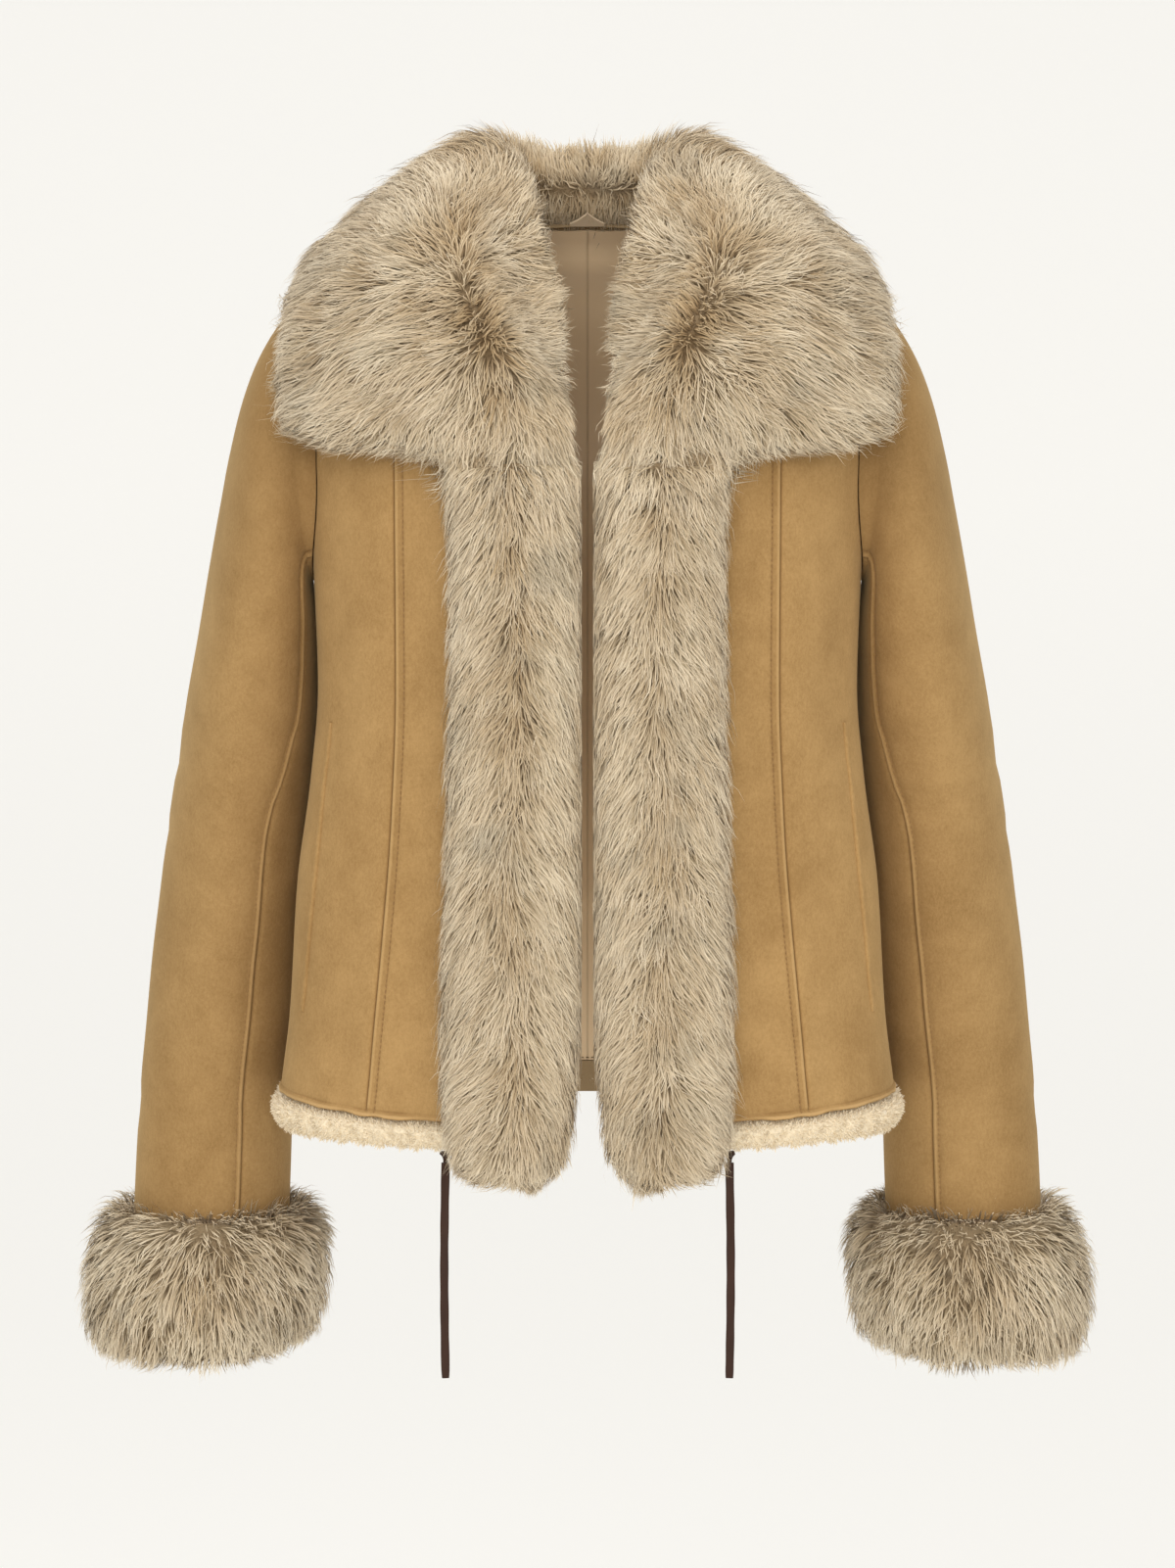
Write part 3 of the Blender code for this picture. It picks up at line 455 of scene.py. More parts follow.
def makeKnot(name, side):
    # an overhand knot: a short tube wound round itself, tight under the hem
    loop, height = knotPlan["loop"], knotPlan["height"]
    steps = np.linspace(0, 2 * math.pi, knotPlan["steps"], endpoint=False)
    x = side * tiePlan["x"] + loop * (np.sin(steps) + 0.55 * np.sin(2 * steps)) * 0.72
    y = tiePlan["y"] + loop * 0.42 * np.cos(3 * steps)
    z = knotPlan["middle"] + height / 2 * (np.cos(steps) - 0.45 * np.cos(2 * steps)) * 0.72
    line = np.stack([x, y, z], axis=1)
    along = unit(np.roll(line, -1, axis=0) - np.roll(line, 1, axis=0))
    across = unit(np.cross(along, np.array([0.3, 1.0, 0.2])))
    away = np.cross(along, across)
    turns = np.linspace(0, 2 * math.pi, knotPlan["sides"], endpoint=False)[None, :, None]
    rings = line[:, None] + knotPlan["radius"] * (np.cos(turns) * across[:, None] * 1.15
                                                  + np.sin(turns) * away[:, None] * 0.85)
    piece = meshPiece(name, rings.reshape(-1, 3), loopFaces(knotPlan["steps"], knotPlan["sides"], joined=True),
                      [finishes["leather"]], sharp=0)
    fixNormals(piece)
    return piece


for letter, side in (("L", -1), ("R", 1)):
    knot = makeKnot(f"tieKnot{letter}", side)
    claim(knot, "leather_tie", f"tie_knot_{letter}")
    tie, route = makeTie(f"leatherTie{letter}", side)
    claim(tie, "leather_tie", f"leather_tie_{letter}")
print("ties made")


# the coat's form, the same as the solids': body rings, then the shoulder yoke
coatForm = {
    "hemZ": -552.0, "yokeZ": -165.0, "underarmZ": -235.0, "underarmY": 4.0, "frontX": 30.0,
    "neckX": 78.0, "backNeckY": 50.0, "shoulderX": 172.0, "armholeX": 165.0, "yokeRows": 24, "sideColumns": 10,
    "ringZ": (-165, -235, -302, -358, -424, -503, -552, -600),
    "halfWidth": (173.0, 169.5, 167.0, 171.5, 180.0, 184.5, 190.0, 194.0),
    "front": (110, 114, 113, 110, 109, 111, 113, 115),
    "back": (106, 106, 101, 98, 99, 103, 106, 108),
    "backPower": (3.0, 2.7, 2.5, 2.4, 2.3, 2.3, 2.3, 2.3), "frontPower": 2.8,
    "shoulder": ((0, 9), (40, 5), (78, 0), (122, -26), (158, -54), (174, -62)),
    "neckline": ((30, -120), (42, -84), (54, -50), (66, -22), (78, 0)),
    "princess": ((-165, 116), (-300, 115), (-380, 118), (-450, 123), (-552, 133)),
    "armholeLine": ((-165, 165), (-235, 161), (-302, 158), (-424, 169), (-552, 178)),
}
halfWidth = curveThrough(coatForm["ringZ"], coatForm["halfWidth"])
frontDepth = curveThrough(coatForm["ringZ"], coatForm["front"])
backDepth = curveThrough(coatForm["ringZ"], coatForm["back"])
backPower = curveThrough(coatForm["ringZ"], coatForm["backPower"])
shoulderZ = curveThrough(*zip(*coatForm["shoulder"]))
necklineZ = curveThrough(*zip(*coatForm["neckline"]))
princessX = curveThrough(*zip(*coatForm["princess"]))
armholeLineX = curveThrough(*zip(*coatForm["armholeLine"]))
hemZ, yokeZ = coatForm["hemZ"], coatForm["yokeZ"]


def ringShape(z, inFront):
    # how deep the ring is and how square
    depth = np.where(inFront, frontDepth(z), backDepth(z))
    return depth, np.where(inFront, coatForm["frontPower"], backPower(z))


def ringPoint(angle, z):
    # a point of the body ring; the angle is 0 at the front and pi at the back
    across, along = np.sin(angle), np.cos(angle)
    depth, power = ringShape(z, along >= 0)
    size = (np.abs(across) / halfWidth(z)) ** power + (np.abs(along) / depth) ** power
    reach = size ** (-1 / power)
    return np.stack([reach * across, -reach * along, z + 0 * reach], axis=-1)


def depthAt(x, z, inFront):
    # the ring's distance in y from the middle
    depth, power = ringShape(z, inFront)
    return depth * np.maximum(1 - (np.abs(x) / halfWidth(z)) ** power, 0.0) ** (1 / power)


def yokePoint(x, roll):
    # a point over the shoulder; roll is 0 in front at the yoke, pi / 2 on the ridge
    away = depthAt(x, yokeZ + 0 * x, np.cos(roll) >= 0)
    return np.stack([x, -away * np.cos(roll), mixed(yokeZ, shoulderZ(np.abs(x)), np.sin(roll))], axis=-1)


def normalOf(surface, first, second):
    # from points a small step to each side, an angle and a height or an x and an angle
    firstStep, secondStep = (0.004, 1.0) if surface is ringPoint else (0.4, 0.004)
    along = surface(first + firstStep, second) - surface(first - firstStep, second)
    up = surface(first, second + secondStep) - surface(first, second - secondStep)
    normal = unit(np.cross(along, up))
    outward = surface(first, second) - np.array([0.0, 0.0, yokeZ])
    if surface is ringPoint:
        outward = outward * np.array([1.0, 1.0, 0.0])
    return normal * np.where((normal * outward).sum(-1, keepdims=True) < 0, -1.0, 1.0)


def angleAt(x, z, behind):
    # the ring's angle at which it passes x
    away = depthAt(x, z, np.full(np.shape(x + z), not behind))
    return np.arctan2(x, -away if behind else away)


def seamAngle(z):
    return np.arctan2(halfWidth(z), -coatForm["underarmY"])


def frontRoll(x):
    # how far the yoke rolls up in front: to the neckline, or to the ridge beside the neck
    inner = np.minimum(x, coatForm["neckX"])
    share = (necklineZ(inner) - yokeZ) / (shoulderZ(inner) - yokeZ)
    return np.where(x >= coatForm["neckX"], math.pi / 2, np.arcsin(np.clip(share, 0, 1)))


def backRoll(x):
    # the same behind, to the round of the back neck
    inner = np.minimum(x, coatForm["neckX"])
    away = coatForm["backNeckY"] * np.sqrt(np.maximum(1 - (inner / coatForm["neckX"]) ** 2, 0))
    depth = depthAt(inner, yokeZ + 0 * inner, np.zeros(np.shape(inner), bool))
    return np.where(x >= coatForm["neckX"], math.pi / 2, np.arccos(np.clip(away / depth, 0, 1)))


def armholeEdge(turn):
    # the armhole, from the yoke in front, over the shoulder, down behind and under
    turn = np.asarray(turn, float) % (2 * math.pi)
    rise = np.minimum(turn, math.pi)
    x = mixed(coatForm["armholeX"], coatForm["shoulderX"], np.sin(rise) ** 2)
    above = yokePoint(x, rise)
    behind = turn < 1.5 * math.pi
    down = np.clip(np.where(behind, turn - math.pi, 2 * math.pi - turn), 0, math.pi / 2)
    z = mixed(yokeZ, coatForm["underarmZ"], np.sin(down))
    line = armholeLineX(z)
    start = np.where(behind, angleAt(line, z, True), angleAt(line, z, False))
    under = ringPoint(mixed(start, seamAngle(z), 1 - np.cos(down)), z)
    return np.where((turn <= math.pi)[..., None], above, under)


# cloth walls: a grid of points on the form, moved out by seams and folds, and closed at its edges
seamShapes = {  # how far the cloth stands out at distances from its seam, in millimetres
    "welt": ((0, -1.1), (0.6, 0.15), (1.3, 1.0), (2.2, 1.15), (3.0, 0.7), (3.7, -0.2), (4.6, -0.35),
             (5.2, -0.6), (6.2, -0.25), (8.5, 0.2), (14, 0)),
    "plain": ((0, -1.1), (0.6, -0.5), (1.3, -0.1), (3.0, 0.3), (6, 0.35), (14, 0)),
    "inside": ((0, 0.22), (0.6, 0.08), (1.3, 0.0), (3, 0)),
    "free": ((0, 0), (1, 0)),
}
edgeSteps = (0, 0.6, 1.3, 2.2, 3.0, 3.7, 4.6, 5.2, 6.2, 8.5, 13.0)
stitchColumn = 7  # the edge step that the stitches run along
lip = {"steps": (0, 0.6, 1.3, 2.1, 2.9, 3.7, 5.0, 7.5), "out": ((0, 0.6), (0.6, 1.3), (1.3, 1.5),
       (2.1, 1.1), (2.9, 0.0), (3.7, -0.5), (5.0, 0.0)), "wave": 0.8, "waveSize": 17.0, "uneven": 0.45}
# the last two are where painted shade starts up a sleeve and where it is full, towards the collar, in millimetres
wallPlan = {"suede": 2.4, "cell": 8.0, "inner": 0.5, "weld": 0.02, "paintedShadeFrom": -290.0, "paintedShadeTo": -150.0}
hemDrop = {"front": ((84, 6.0), (133, 3.5), (160, 0.8), (190, -2.0)), "behind": ((150, 0.0), (190, -2.0)),
           "fade": 70.0}


def dropAt(x, inFront):
    # how far the hem hangs below its level, more towards the front bands
    x = np.abs(x)
    return np.where(inFront, readShape(hemDrop["front"], x), readShape(hemDrop["behind"], x))


foldSides = {"front": (0, -1, 0), "behind": (0, 1, 0), "outward": (1, 0, 0), "inward": (-1, 0, 0)}
# soft troughs and ridges under the side that they face: width, height, then the line seen from that side,
# as x and z in front and behind, y and z on the sleeve's outer and inner side
bodyFolds = {
    "front": [
        (15, 1.5, (137, -190), (131, -300), (134, -375)), (15, -1.5, (97, -190), (94, -330), (98, -520)),
        (7, -1.2, (163, -352), (148, -326), (139, -296)), (12, -1.0, (150, -372), (147, -430), (156, -500)),
        (9, 0.9, (128, -400), (124, -470), (131, -535)), (11, -1.3, (172, -468), (150, -510), (138, -540)),
        (7, -1.2, (160, -195), (147, -222), (133, -240)), (9, -1.1, (162, -240), (150, -272), (141, -312)),
        (5, -0.8, (104, -553), (106, -528)), (4.5, 0.7, (118, -553), (116, -534)),
        (6, -1.0, (143, -553), (147, -524)), (4.5, 0.7, (157, -553), (156, -536)),
        (5, -0.8, (168, -553), (171, -530)),
    ],
    "behind": [
        (19, -2.2, (58, -190), (66, -360), (72, -545)), (17, 1.8, (112, -180), (104, -330), (119, -545)),
        (15, 1.4, (24, -260), (28, -420), (22, -545)), (14, -1.6, (148, -230), (139, -330), (150, -470)),
        (9, -1.1, (12, -332), (48, -340), (86, -334)), (8, -1.2, (92, -352), (126, -342), (156, -328)),
        (12, -1.0, (30, -150), (76, -158), (126, -176)), (8, -1.5, (160, -196), (140, -225), (118, -238)),
        (6, -0.9, (40, -553), (42, -526)), (5.5, 0.8, (84, -553), (82, -530)), (6, -1.0, (126, -553), (129, -522)),
        (5, 0.7, (158, -553), (157, -532)),
    ],
}
sleeveFolds = {
    "inward": [
        (20, 1.9, (-44, -250), (20, -262), (76, -252)),
    ],
    "front": [
        (7, -1.7, (176, -332), (206, -346), (238, -336)), (6, -1.2, (178, -368), (200, -376), (222, -370)),
        (8, -1.1, (182, -300), (204, -309), (226, -305)), (7, 0.9, (208, -352), (230, -362), (252, -356)),
        (17, 1.6, (206, -190), (221, -300), (229, -420), (238, -560)),
        (8, -1.3, (187, -240), (196, -262), (207, -292)), (5, -0.8, (186, -150), (196, -166)),
        (5, -0.9, (184, -182), (198, -196)), (6, -1.1, (182, -214), (196, -232)),
        (8, -1.2, (202, -556), (226, -570), (246, -566)), (8, -1.0, (226, -598), (252, -604), (276, -594)),
        (10, -0.9, (196, -466), (214, -486), (236, -494)), (10, -0.8, (236, -430), (254, -446), (266, -470)),
    ],
    "outward": [
        (8, -1.2, (-10, -340), (24, -350), (60, -344)), (8, -1.0, (14, -392), (44, -398), (78, -388)),
        (18, 1.4, (0, -170), (16, -260), (36, -380), (60, -540)), (8, -1.0, (30, -560), (58, -572), (84, -566)),
    ],
    "behind": [
        (8, -1.9, (180, -352), (212, -364), (250, -356)), (7, -1.3, (186, -318), (214, -326), (238, -318)),
        (8, -1.3, (196, -396), (224, -404), (254, -398)),
        (16, 1.5, (204, -180), (216, -290), (222, -420), (240, -590)),
        (8, -1.2, (206, -560), (238, -572), (264, -562)),
    ],
}
liningFolds = {
    "behind": [
        (4.5, 2.0, (-62, -30), (-30, -25), (30, -25), (62, -30)),
        (5.5, -2.2, (-60, -43), (-30, -37), (30, -37), (60, -43)),
        (8, 1.9, (-64, -66), (-34, -56), (34, -56), (64, -66)), (9, -0.8, (10, -80), (44, -91)),
        (13, -1.6, (8, -150), (30, -240), (26, -360)), (15, -1.8, (48, -180), (60, -330), (54, -520)),
        (16, -1.8, (96, -200), (90, -340), (102, -520)), (8, -0.9, (-50, -446), (0, -440), (22, -452), (50, -446)),
    ],
}


def foldHeight(folds, grid, normals):
    # how far the folds lift each point; each fold fades out at its ends and away from its line
    total = np.zeros(grid.shape[:-1])
    for side, rows in folds.items():
        facing = ramp(normals @ np.array(foldSides[side], float), 0.1, 0.45)
        flat = np.stack([grid[..., 1 if foldSides[side][0] else 0], grid[..., 2]], axis=-1)
        for width, height, *line in rows:
            line = np.array(line, float)
            lengths = np.concatenate([[0], np.cumsum(np.linalg.norm(np.diff(line, axis=0), axis=1))])
            near, along = np.full(grid.shape[:-1], 1e9), np.zeros(grid.shape[:-1])
            for k, (start, way) in enumerate(zip(line[:-1], np.diff(line, axis=0))):
                share = np.clip(((flat - start) @ way) / (way @ way), 0, 1)
                away = np.linalg.norm(flat - start - share[..., None] * way, axis=-1)
                part = (lengths[k] + share * (lengths[k + 1] - lengths[k])) / lengths[-1]
                along = np.where(away < near, part, along)
                near = np.minimum(near, away)
            swell = np.sin(math.pi * np.clip(along, 0.03, 0.97)) ** 0.6
            total += facing * swell * height * np.exp(-(near / width) ** 2)
    return total


def readShape(pairs, distance):
    return np.interp(distance, *zip(*pairs))


def edgeShares(width, left, right, cell):
    # columns across a panel, close together beside its seams; one row of shares for each width
    steps = np.array(edgeSteps)
    start, end = (steps if left else steps[:1]), (steps if right else steps[:1])
    inner = np.linspace(0, 1, max(int((width.max() - start[-1] - end[-1]) / cell), 2) + 1)[1:-1]
    rows = []
    for w in width:
        low, high = start / w, 1 - end[::-1] / w
        rows.append(np.concatenate([low, mixed(low[-1], high[0], inner), high]))
    return np.array(rows)


def rowsUp(top, steps):
    # heights up from the hem, close together where its lip is
    steps = np.array(steps)
    count = int((top - hemZ - steps[-1]) / wallPlan["cell"])
    return np.concatenate([hemZ + steps, np.linspace(hemZ + steps[-1], top, count + 1)[1:]])


def surfaceParts(parts, folds, lipped):
    # each part is a grid of points, its normals and the seams at its left and right edges
    made, start = [], 0
    for grid, normals, seams in parts:
        across = np.linalg.norm(np.diff(grid, axis=1), axis=2)
        fromLeft = np.concatenate([np.zeros((len(grid), 1)), np.cumsum(across, axis=1)], axis=1)
        up = np.linalg.norm(np.diff(grid, axis=0), axis=2)
        up = np.concatenate([np.zeros((1, grid.shape[1])), np.cumsum(up, axis=0)])
        seam = readShape(seamShapes[seams[0]], fromLeft)
        seam = seam + readShape(seamShapes[seams[1]], fromLeft[:, -1:] - fromLeft)
        if lipped:
            wave = softNoise(grid[0], lip["waveSize"], 31)[None, :]
            edge = readShape(lip["out"], up) * (1 + lip["uneven"] * wave)
            seam = seam * ramp(up, 2.0, 6.0) + edge * (up < 4.9)
            grid = grid - upAxis * (lip["wave"] * wave * (1 - ramp(up, 1.0, 6.0)))[..., None]
            fall = dropAt(grid[..., 0], grid[..., 1] < 0) * (1 - ramp(up, 0.0, hemDrop["fade"]))
            grid = grid - upAxis * fall[..., None]
        index = start + np.arange(grid[..., 0].size).reshape(grid.shape[:2])
        cells = np.stack([index[:-1, :-1], index[:-1, 1:], index[1:, 1:], index[1:, :-1]], axis=-1)
        soft = foldHeight(folds, grid, normals)
        flat = np.stack([fromLeft, up], axis=-1) * mm
        made.append((cells.reshape(-1, 4), grid.reshape(-1, 3), normals.reshape(-1, 3), seam.ravel(),
                     soft.ravel(), flat.reshape(-1, 2)))
        start += grid[..., 0].size
    return [np.concatenate(column) for column in zip(*made)]


def clothWall(name, parts, folds, thick, finishOut, finishIn, lipped=False, through=0.0, paintedShade=0.0):
    # the parts share edges, so their points are welded; then an inner side and a rim close the wall
    cells, points, normals, seam, soft, flat = surfaceParts(parts, folds, lipped)
    _, first, home = np.unique(np.round(points / wallPlan["weld"]).astype(np.int64), axis=0,
                               return_index=True, return_inverse=True)
    cells = home.reshape(-1)[cells]
    points, normals, seam, soft, flat = (column[first] for column in (points, normals, seam, soft, flat))
    faces = []
    for cell in cells.tolist():
        face = list(dict.fromkeys(cell))
        if len(face) > 2:
            a, b, c = points[face[0]], points[face[1]], points[face[2]]
            faces.append(face if np.cross(b - a, c - a) @ normals[face[0]] > 0 else face[::-1])
    used = {(s, e) for face in faces for s, e in zip(face, face[1:] + face[:1])}
    border = sorted((s, e) for s, e in used if (e, s) not in used)
    total, sides = len(points), len(faces)
    faces += [[i + total for i in face[::-1]] for face in faces]
    faces += [[e, s, s + total, e + total] for s, e in border]
    out = seam + soft
    within = out * through + np.minimum(out, 0.5) * wallPlan["inner"] * (1 - through) - thick
    cloud = np.concatenate([points + normals * out[:, None], points + normals * within[:, None]])
    slots = [0] * sides + [1] * sides + [0] * len(border)
    piece = meshPiece(name, cloud, faces, [finishOut, finishIn], uv=np.concatenate([flat, flat]), slots=slots)
    # painted shade: the sleeve's outer side darkens up towards the collar by this share, stored with the seams'
    # relief
    shade = paintedShade * ramp(points[:, 2], wallPlan["paintedShadeFrom"], wallPlan["paintedShadeTo"])
    wear = piece.data.attributes.new("wear", "FLOAT", "POINT")
    wear.data.foreach_set("value", np.concatenate([seam - shade, -seam * through]).astype(np.float32))
    return piece


def mirroredPiece(source, name):
    # the same piece on the other side
    mesh = source.data.copy()
    mesh.name = name
    flat = np.zeros(len(mesh.vertices) * 3, np.float32)
    mesh.vertices.foreach_get("co", flat)
    mesh.vertices.foreach_set("co", (flat.reshape(-1, 3) * np.array([-1, 1, 1], np.float32)).ravel())
    mesh.flip_normals()
    piece = bpy.data.objects.new(name, mesh)
    scene.collection.objects.link(piece)
    return piece


def bodyGrid(lineX, heights, topRoll, isBack, shares, blendFrom):
    # points and normals up the body and over the yoke for columns given by shares
    points, normals = [], []
    for row, z in enumerate(heights):
        zs = np.full(shares.shape[1], z)
        angles = angleAt(lineX(shares[row], zs), zs, isBack)
        points.append(ringPoint(angles, zs))
        normals.append(normalOf(ringPoint, angles, zs))
    yokeX = lineX(shares[-1], np.full(shares.shape[1], yokeZ))
    spread = np.clip((yokeX - blendFrom) / (coatForm["armholeX"] - blendFrom), 0, 1)
    for share in np.linspace(0, 1, coatForm["yokeRows"] + 1)[1:]:
        roll = topRoll(yokeX) * share
        x = yokeX + spread * (coatForm["shoulderX"] - coatForm["armholeX"]) * np.sin(roll) ** 2
        roll = math.pi - roll if isBack else roll
        points.append(yokePoint(x, roll))
        normals.append(normalOf(yokePoint, x, roll))
    return np.array(points), np.array(normals)


def underArmGrid(edge, edgeNormals, heights, isBack):
    # columns under the armhole, from the panel's edge to the side seam
    turns = np.linspace(0, math.pi / 2, coatForm["sideColumns"] + 1)[1:]
    turns = np.concatenate([turns[:-1], math.pi / 2 - np.array(edgeSteps[:0:-1]) / 90.0, turns[-1:]])
    turns = np.sort(turns[turns > 0])
    tops = mixed(yokeZ, coatForm["underarmZ"], np.sin(turns))
    points, normals = [], []
    for z in heights:
        share = (z - hemZ) / (yokeZ - hemZ)
        zs = np.where(z - hemZ < lip["steps"][-1] + 0.01, z, hemZ + share * (tops - hemZ))
        angles = mixed(angleAt(armholeLineX(zs), zs, isBack), seamAngle(zs), 1 - np.cos(turns))
        points.append(ringPoint(angles, zs))
        normals.append(normalOf(ringPoint, angles, zs))
    count = len(heights)
    return (np.concatenate([edge[:count, -1:], np.array(points)], axis=1),
            np.concatenate([edgeNormals[:count, -1:], np.array(normals)], axis=1))


heights = rowsUp(yokeZ, lip["steps"])
suede, satin, flesh = finishes["suede"], finishes["satin"], finishes["flesh"]
princess, armholeSide = princessX(heights), armholeLineX(heights)
frontGrid = bodyGrid(lambda share, z: mixed(coatForm["frontX"], princessX(z), share), heights, frontRoll, False,
                     edgeShares(princess - coatForm["frontX"], False, True, wallPlan["cell"]), 1e3)
chestGrid = bodyGrid(lambda share, z: mixed(princessX(z), armholeLineX(z), share), heights, frontRoll, False,
                     edgeShares(armholeSide - princess, True, False, wallPlan["cell"]), 156.0)
backGrid = bodyGrid(lambda share, z: mixed(0.0, armholeLineX(z), share), heights, backRoll, True,
                    edgeShares(armholeSide, True, False, wallPlan["cell"]), 147.0)
chestUnder = underArmGrid(*chestGrid, heights, False)
backUnder = underArmGrid(*backGrid, heights, True)
shells = {
    "frontPanelR": clothWall("frontPanelR", [(*frontGrid, ("free", "welt"))], bodyFolds, wallPlan["suede"],
                             suede, flesh, lipped=True),
    "sideFrontR": clothWall("sideFrontR", [(*chestGrid, ("plain", "free")), (*chestUnder, ("free", "plain"))],
                            bodyFolds, wallPlan["suede"], suede, flesh, lipped=True),
    "backPanelR": clothWall("backPanelR", [(*backGrid, ("plain", "free")), (*backUnder, ("free", "plain"))],
                            bodyFolds, wallPlan["suede"], suede, flesh, lipped=True),
}
print("body made")


# sleeves, as rings from the armhole to the cuff
sleeveForm = {
    "outerX": (184, 197, 207.5, 216.5, 223.5, 230, 236.5, 243, 250.5, 257.5, 264.5, 270, 275.6, 280, 284.4, 287.4,
               289.5),
    "outerZ": (-66, -84, -104, -130, -160, -195, -232, -270, -310, -352, -395, -435, -475, -515, -555, -597, -640),
    "innerX": (171.8, 172.2, 171.8, 171.2, 170.6, 169.8, 169, 168.5, 169, 171.2, 174.5, 176, 179.5, 183.5, 188,
               189, 190.5),
    "innerZ": (-237, -240, -244, -249, -256, -264, -276, -294, -318, -355, -395, -435, -475, -515, -555, -597, -640),
    "halfDepth": (57, 62, 66, 69, 71, 72, 72, 70, 68, 64, 60, 57, 54.5, 52.5, 51, 50, 49),
    "centreY": (3, 4, 5, 7, 10, 14, 18, 23, 28, 35, 40, 45, 50, 54, 58, 60, 61),
    "turn": (0, 0, 0, 0, 0, 0, 0, 0, 2, 14, 26, 28, 28, 28, 28, 28, 28),
    "gap": 0.8, "settle": 4, "frontSeam": 1.7, "backSeam": 12 / 14, "rowsPerRing": 4, "girth": 200.0, "cell": 8.0,
}


def sleeveRings(turns):
    # rings of points at these turns round the sleeve
    edge = armholeEdge(turns)
    top, bottom = armholeEdge(math.pi / 2), armholeEdge(1.5 * math.pi)
    middle, rise = (top + bottom) / 2, (top - bottom) / 2
    whole = armholeEdge(np.linspace(0, 2 * math.pi, 200))
    upShare = (edge - middle) @ rise / (rise @ rise)
    depthShare = (edge[:, 1] - middle[1]) / ((whole[:, 1].max() - whole[:, 1].min()) / 2)
    numbers = np.arange(1, len(sleeveForm["outerX"]) + 1)
    fine = np.linspace(1, len(numbers), (len(numbers) - 1) * sleeveForm["rowsPerRing"] + 1)
    outerX, outerZ, innerX, innerZ, halfDepth, centreY, turn = (
        curveThrough(numbers, sleeveForm[key])(fine)
        for key in ("outerX", "outerZ", "innerX", "innerZ", "halfDepth", "centreY", "turn"))
    rings = []
    for i, number in enumerate(fine):
        outer = np.array([outerX[i], centreY[i], outerZ[i]])
        inner = np.array([innerX[i], centreY[i], innerZ[i]])
        settled = min(number / sleeveForm["settle"], 1.0)
        turned = turns + math.radians(turn[i])
        up = mixed(upShare, np.sin(turned), settled)
        deep = mixed(depthShare, -np.cos(turned), settled)
        ring = np.outer(up, (outer - inner) / 2) + (outer + inner) / 2
        ring[:, 1] += deep * halfDepth[i]
        rings.append(ring)
    first = edge + np.array([sleeveForm["gap"], 0, 0])
    return np.array([mixed(first, rings[0], share) for share in (0, 0.1, 0.25, 0.55)] + rings)


def sleeveGrid(start, end):
    # columns between two seams, close together beside them; rows run up from the cuff
    around = np.array([sleeveForm["girth"] * (end - start)])
    turns = math.pi * mixed(start, end, edgeShares(around, True, True, sleeveForm["cell"])[0])
    grid = sleeveRings(turns)
    around = sleeveRings(turns + 0.01) - sleeveRings(turns - 0.01)
    normals = np.cross(around, np.gradient(grid, axis=0))
    normals[0] = np.cross(around[0], np.array([1.0, 0, 0]))
    centre = sleeveRings(np.linspace(0, 2 * math.pi, 40, endpoint=False)).mean(axis=1, keepdims=True)
    normals = unit(normals) * np.sign(((grid - centre) * normals).sum(-1, keepdims=True))
    return grid[::-1], normals[::-1]


topGrid = sleeveGrid(sleeveForm["frontSeam"] - 2, sleeveForm["backSeam"])
underGrid = sleeveGrid(sleeveForm["backSeam"], sleeveForm["frontSeam"])
# the sleeves take painted shade near their tops, under the collar
shells["topSleeveR"] = clothWall("topSleeveR", [(*topGrid, ("welt", "plain"))], sleeveFolds, wallPlan["suede"],
                                 finishes["sleeveSuedeShaded"], flesh, paintedShade=0.5)
shells["underSleeveR"] = clothWall("underSleeveR", [(*underGrid, ("plain", "plain"))], sleeveFolds,
                                   wallPlan["suede"], finishes["sleeveSuedeShaded"], flesh, paintedShade=0.5)
print("sleeves made")


# satin back lining with its folds, the facing inside the hem, and the hanger tab
liningPlan = {"out": -3.8, "wall": 1.0, "endZ": -548.5, "facingEndZ": -569.0, "facingWall": 1.4, "facingRows": 7}


def moved(grid, normals, out):
    return grid + normals * out, normals


liningHeights = np.concatenate([[liningPlan["endZ"]], heights[heights > liningPlan["endZ"] + 0.3]])
liningSide = armholeLineX(liningHeights)
liningGrid = bodyGrid(lambda share, z: mixed(0.0, armholeLineX(z), share), liningHeights, backRoll, True,
                      edgeShares(liningSide, True, False, 5.0), 147.0)
liningUnder = underArmGrid(*liningGrid, liningHeights, True)
shells["backLiningR"] = clothWall(
    "backLiningR", [(*moved(*liningGrid, liningPlan["out"]), ("inside", "free")),
                    (*moved(*liningUnder, liningPlan["out"]), ("free", "free"))],
    liningFolds, liningPlan["wall"], satin, satin, through=1.0)


def facingGrid():
    # a strip inside the hem, round the back from one side seam to the other
    zs = np.linspace(liningPlan["facingEndZ"], liningPlan["endZ"] - 0.4, liningPlan["facingRows"])
    across = np.linspace(0, 1, 36)
    turns = np.linspace(0, math.pi / 2, 16)[1:]
    points, normals = [], []
    for z in zs:
        row = np.full(len(across), z)
        flatPart = angleAt(mixed(0.0, armholeLineX(row), across), row, True)
        row = np.full(len(turns), z)
        sidePart = mixed(angleAt(armholeLineX(row), row, True), seamAngle(row), 1 - np.cos(turns))
        angles = np.concatenate([flatPart, sidePart])
        angles = np.concatenate([2 * math.pi - angles[:0:-1], angles])
        row = np.full(len(angles), z)
        points.append(ringPoint(angles, row))
        normals.append(normalOf(ringPoint, angles, row))
    return moved(np.array(points), np.array(normals), liningPlan["out"])


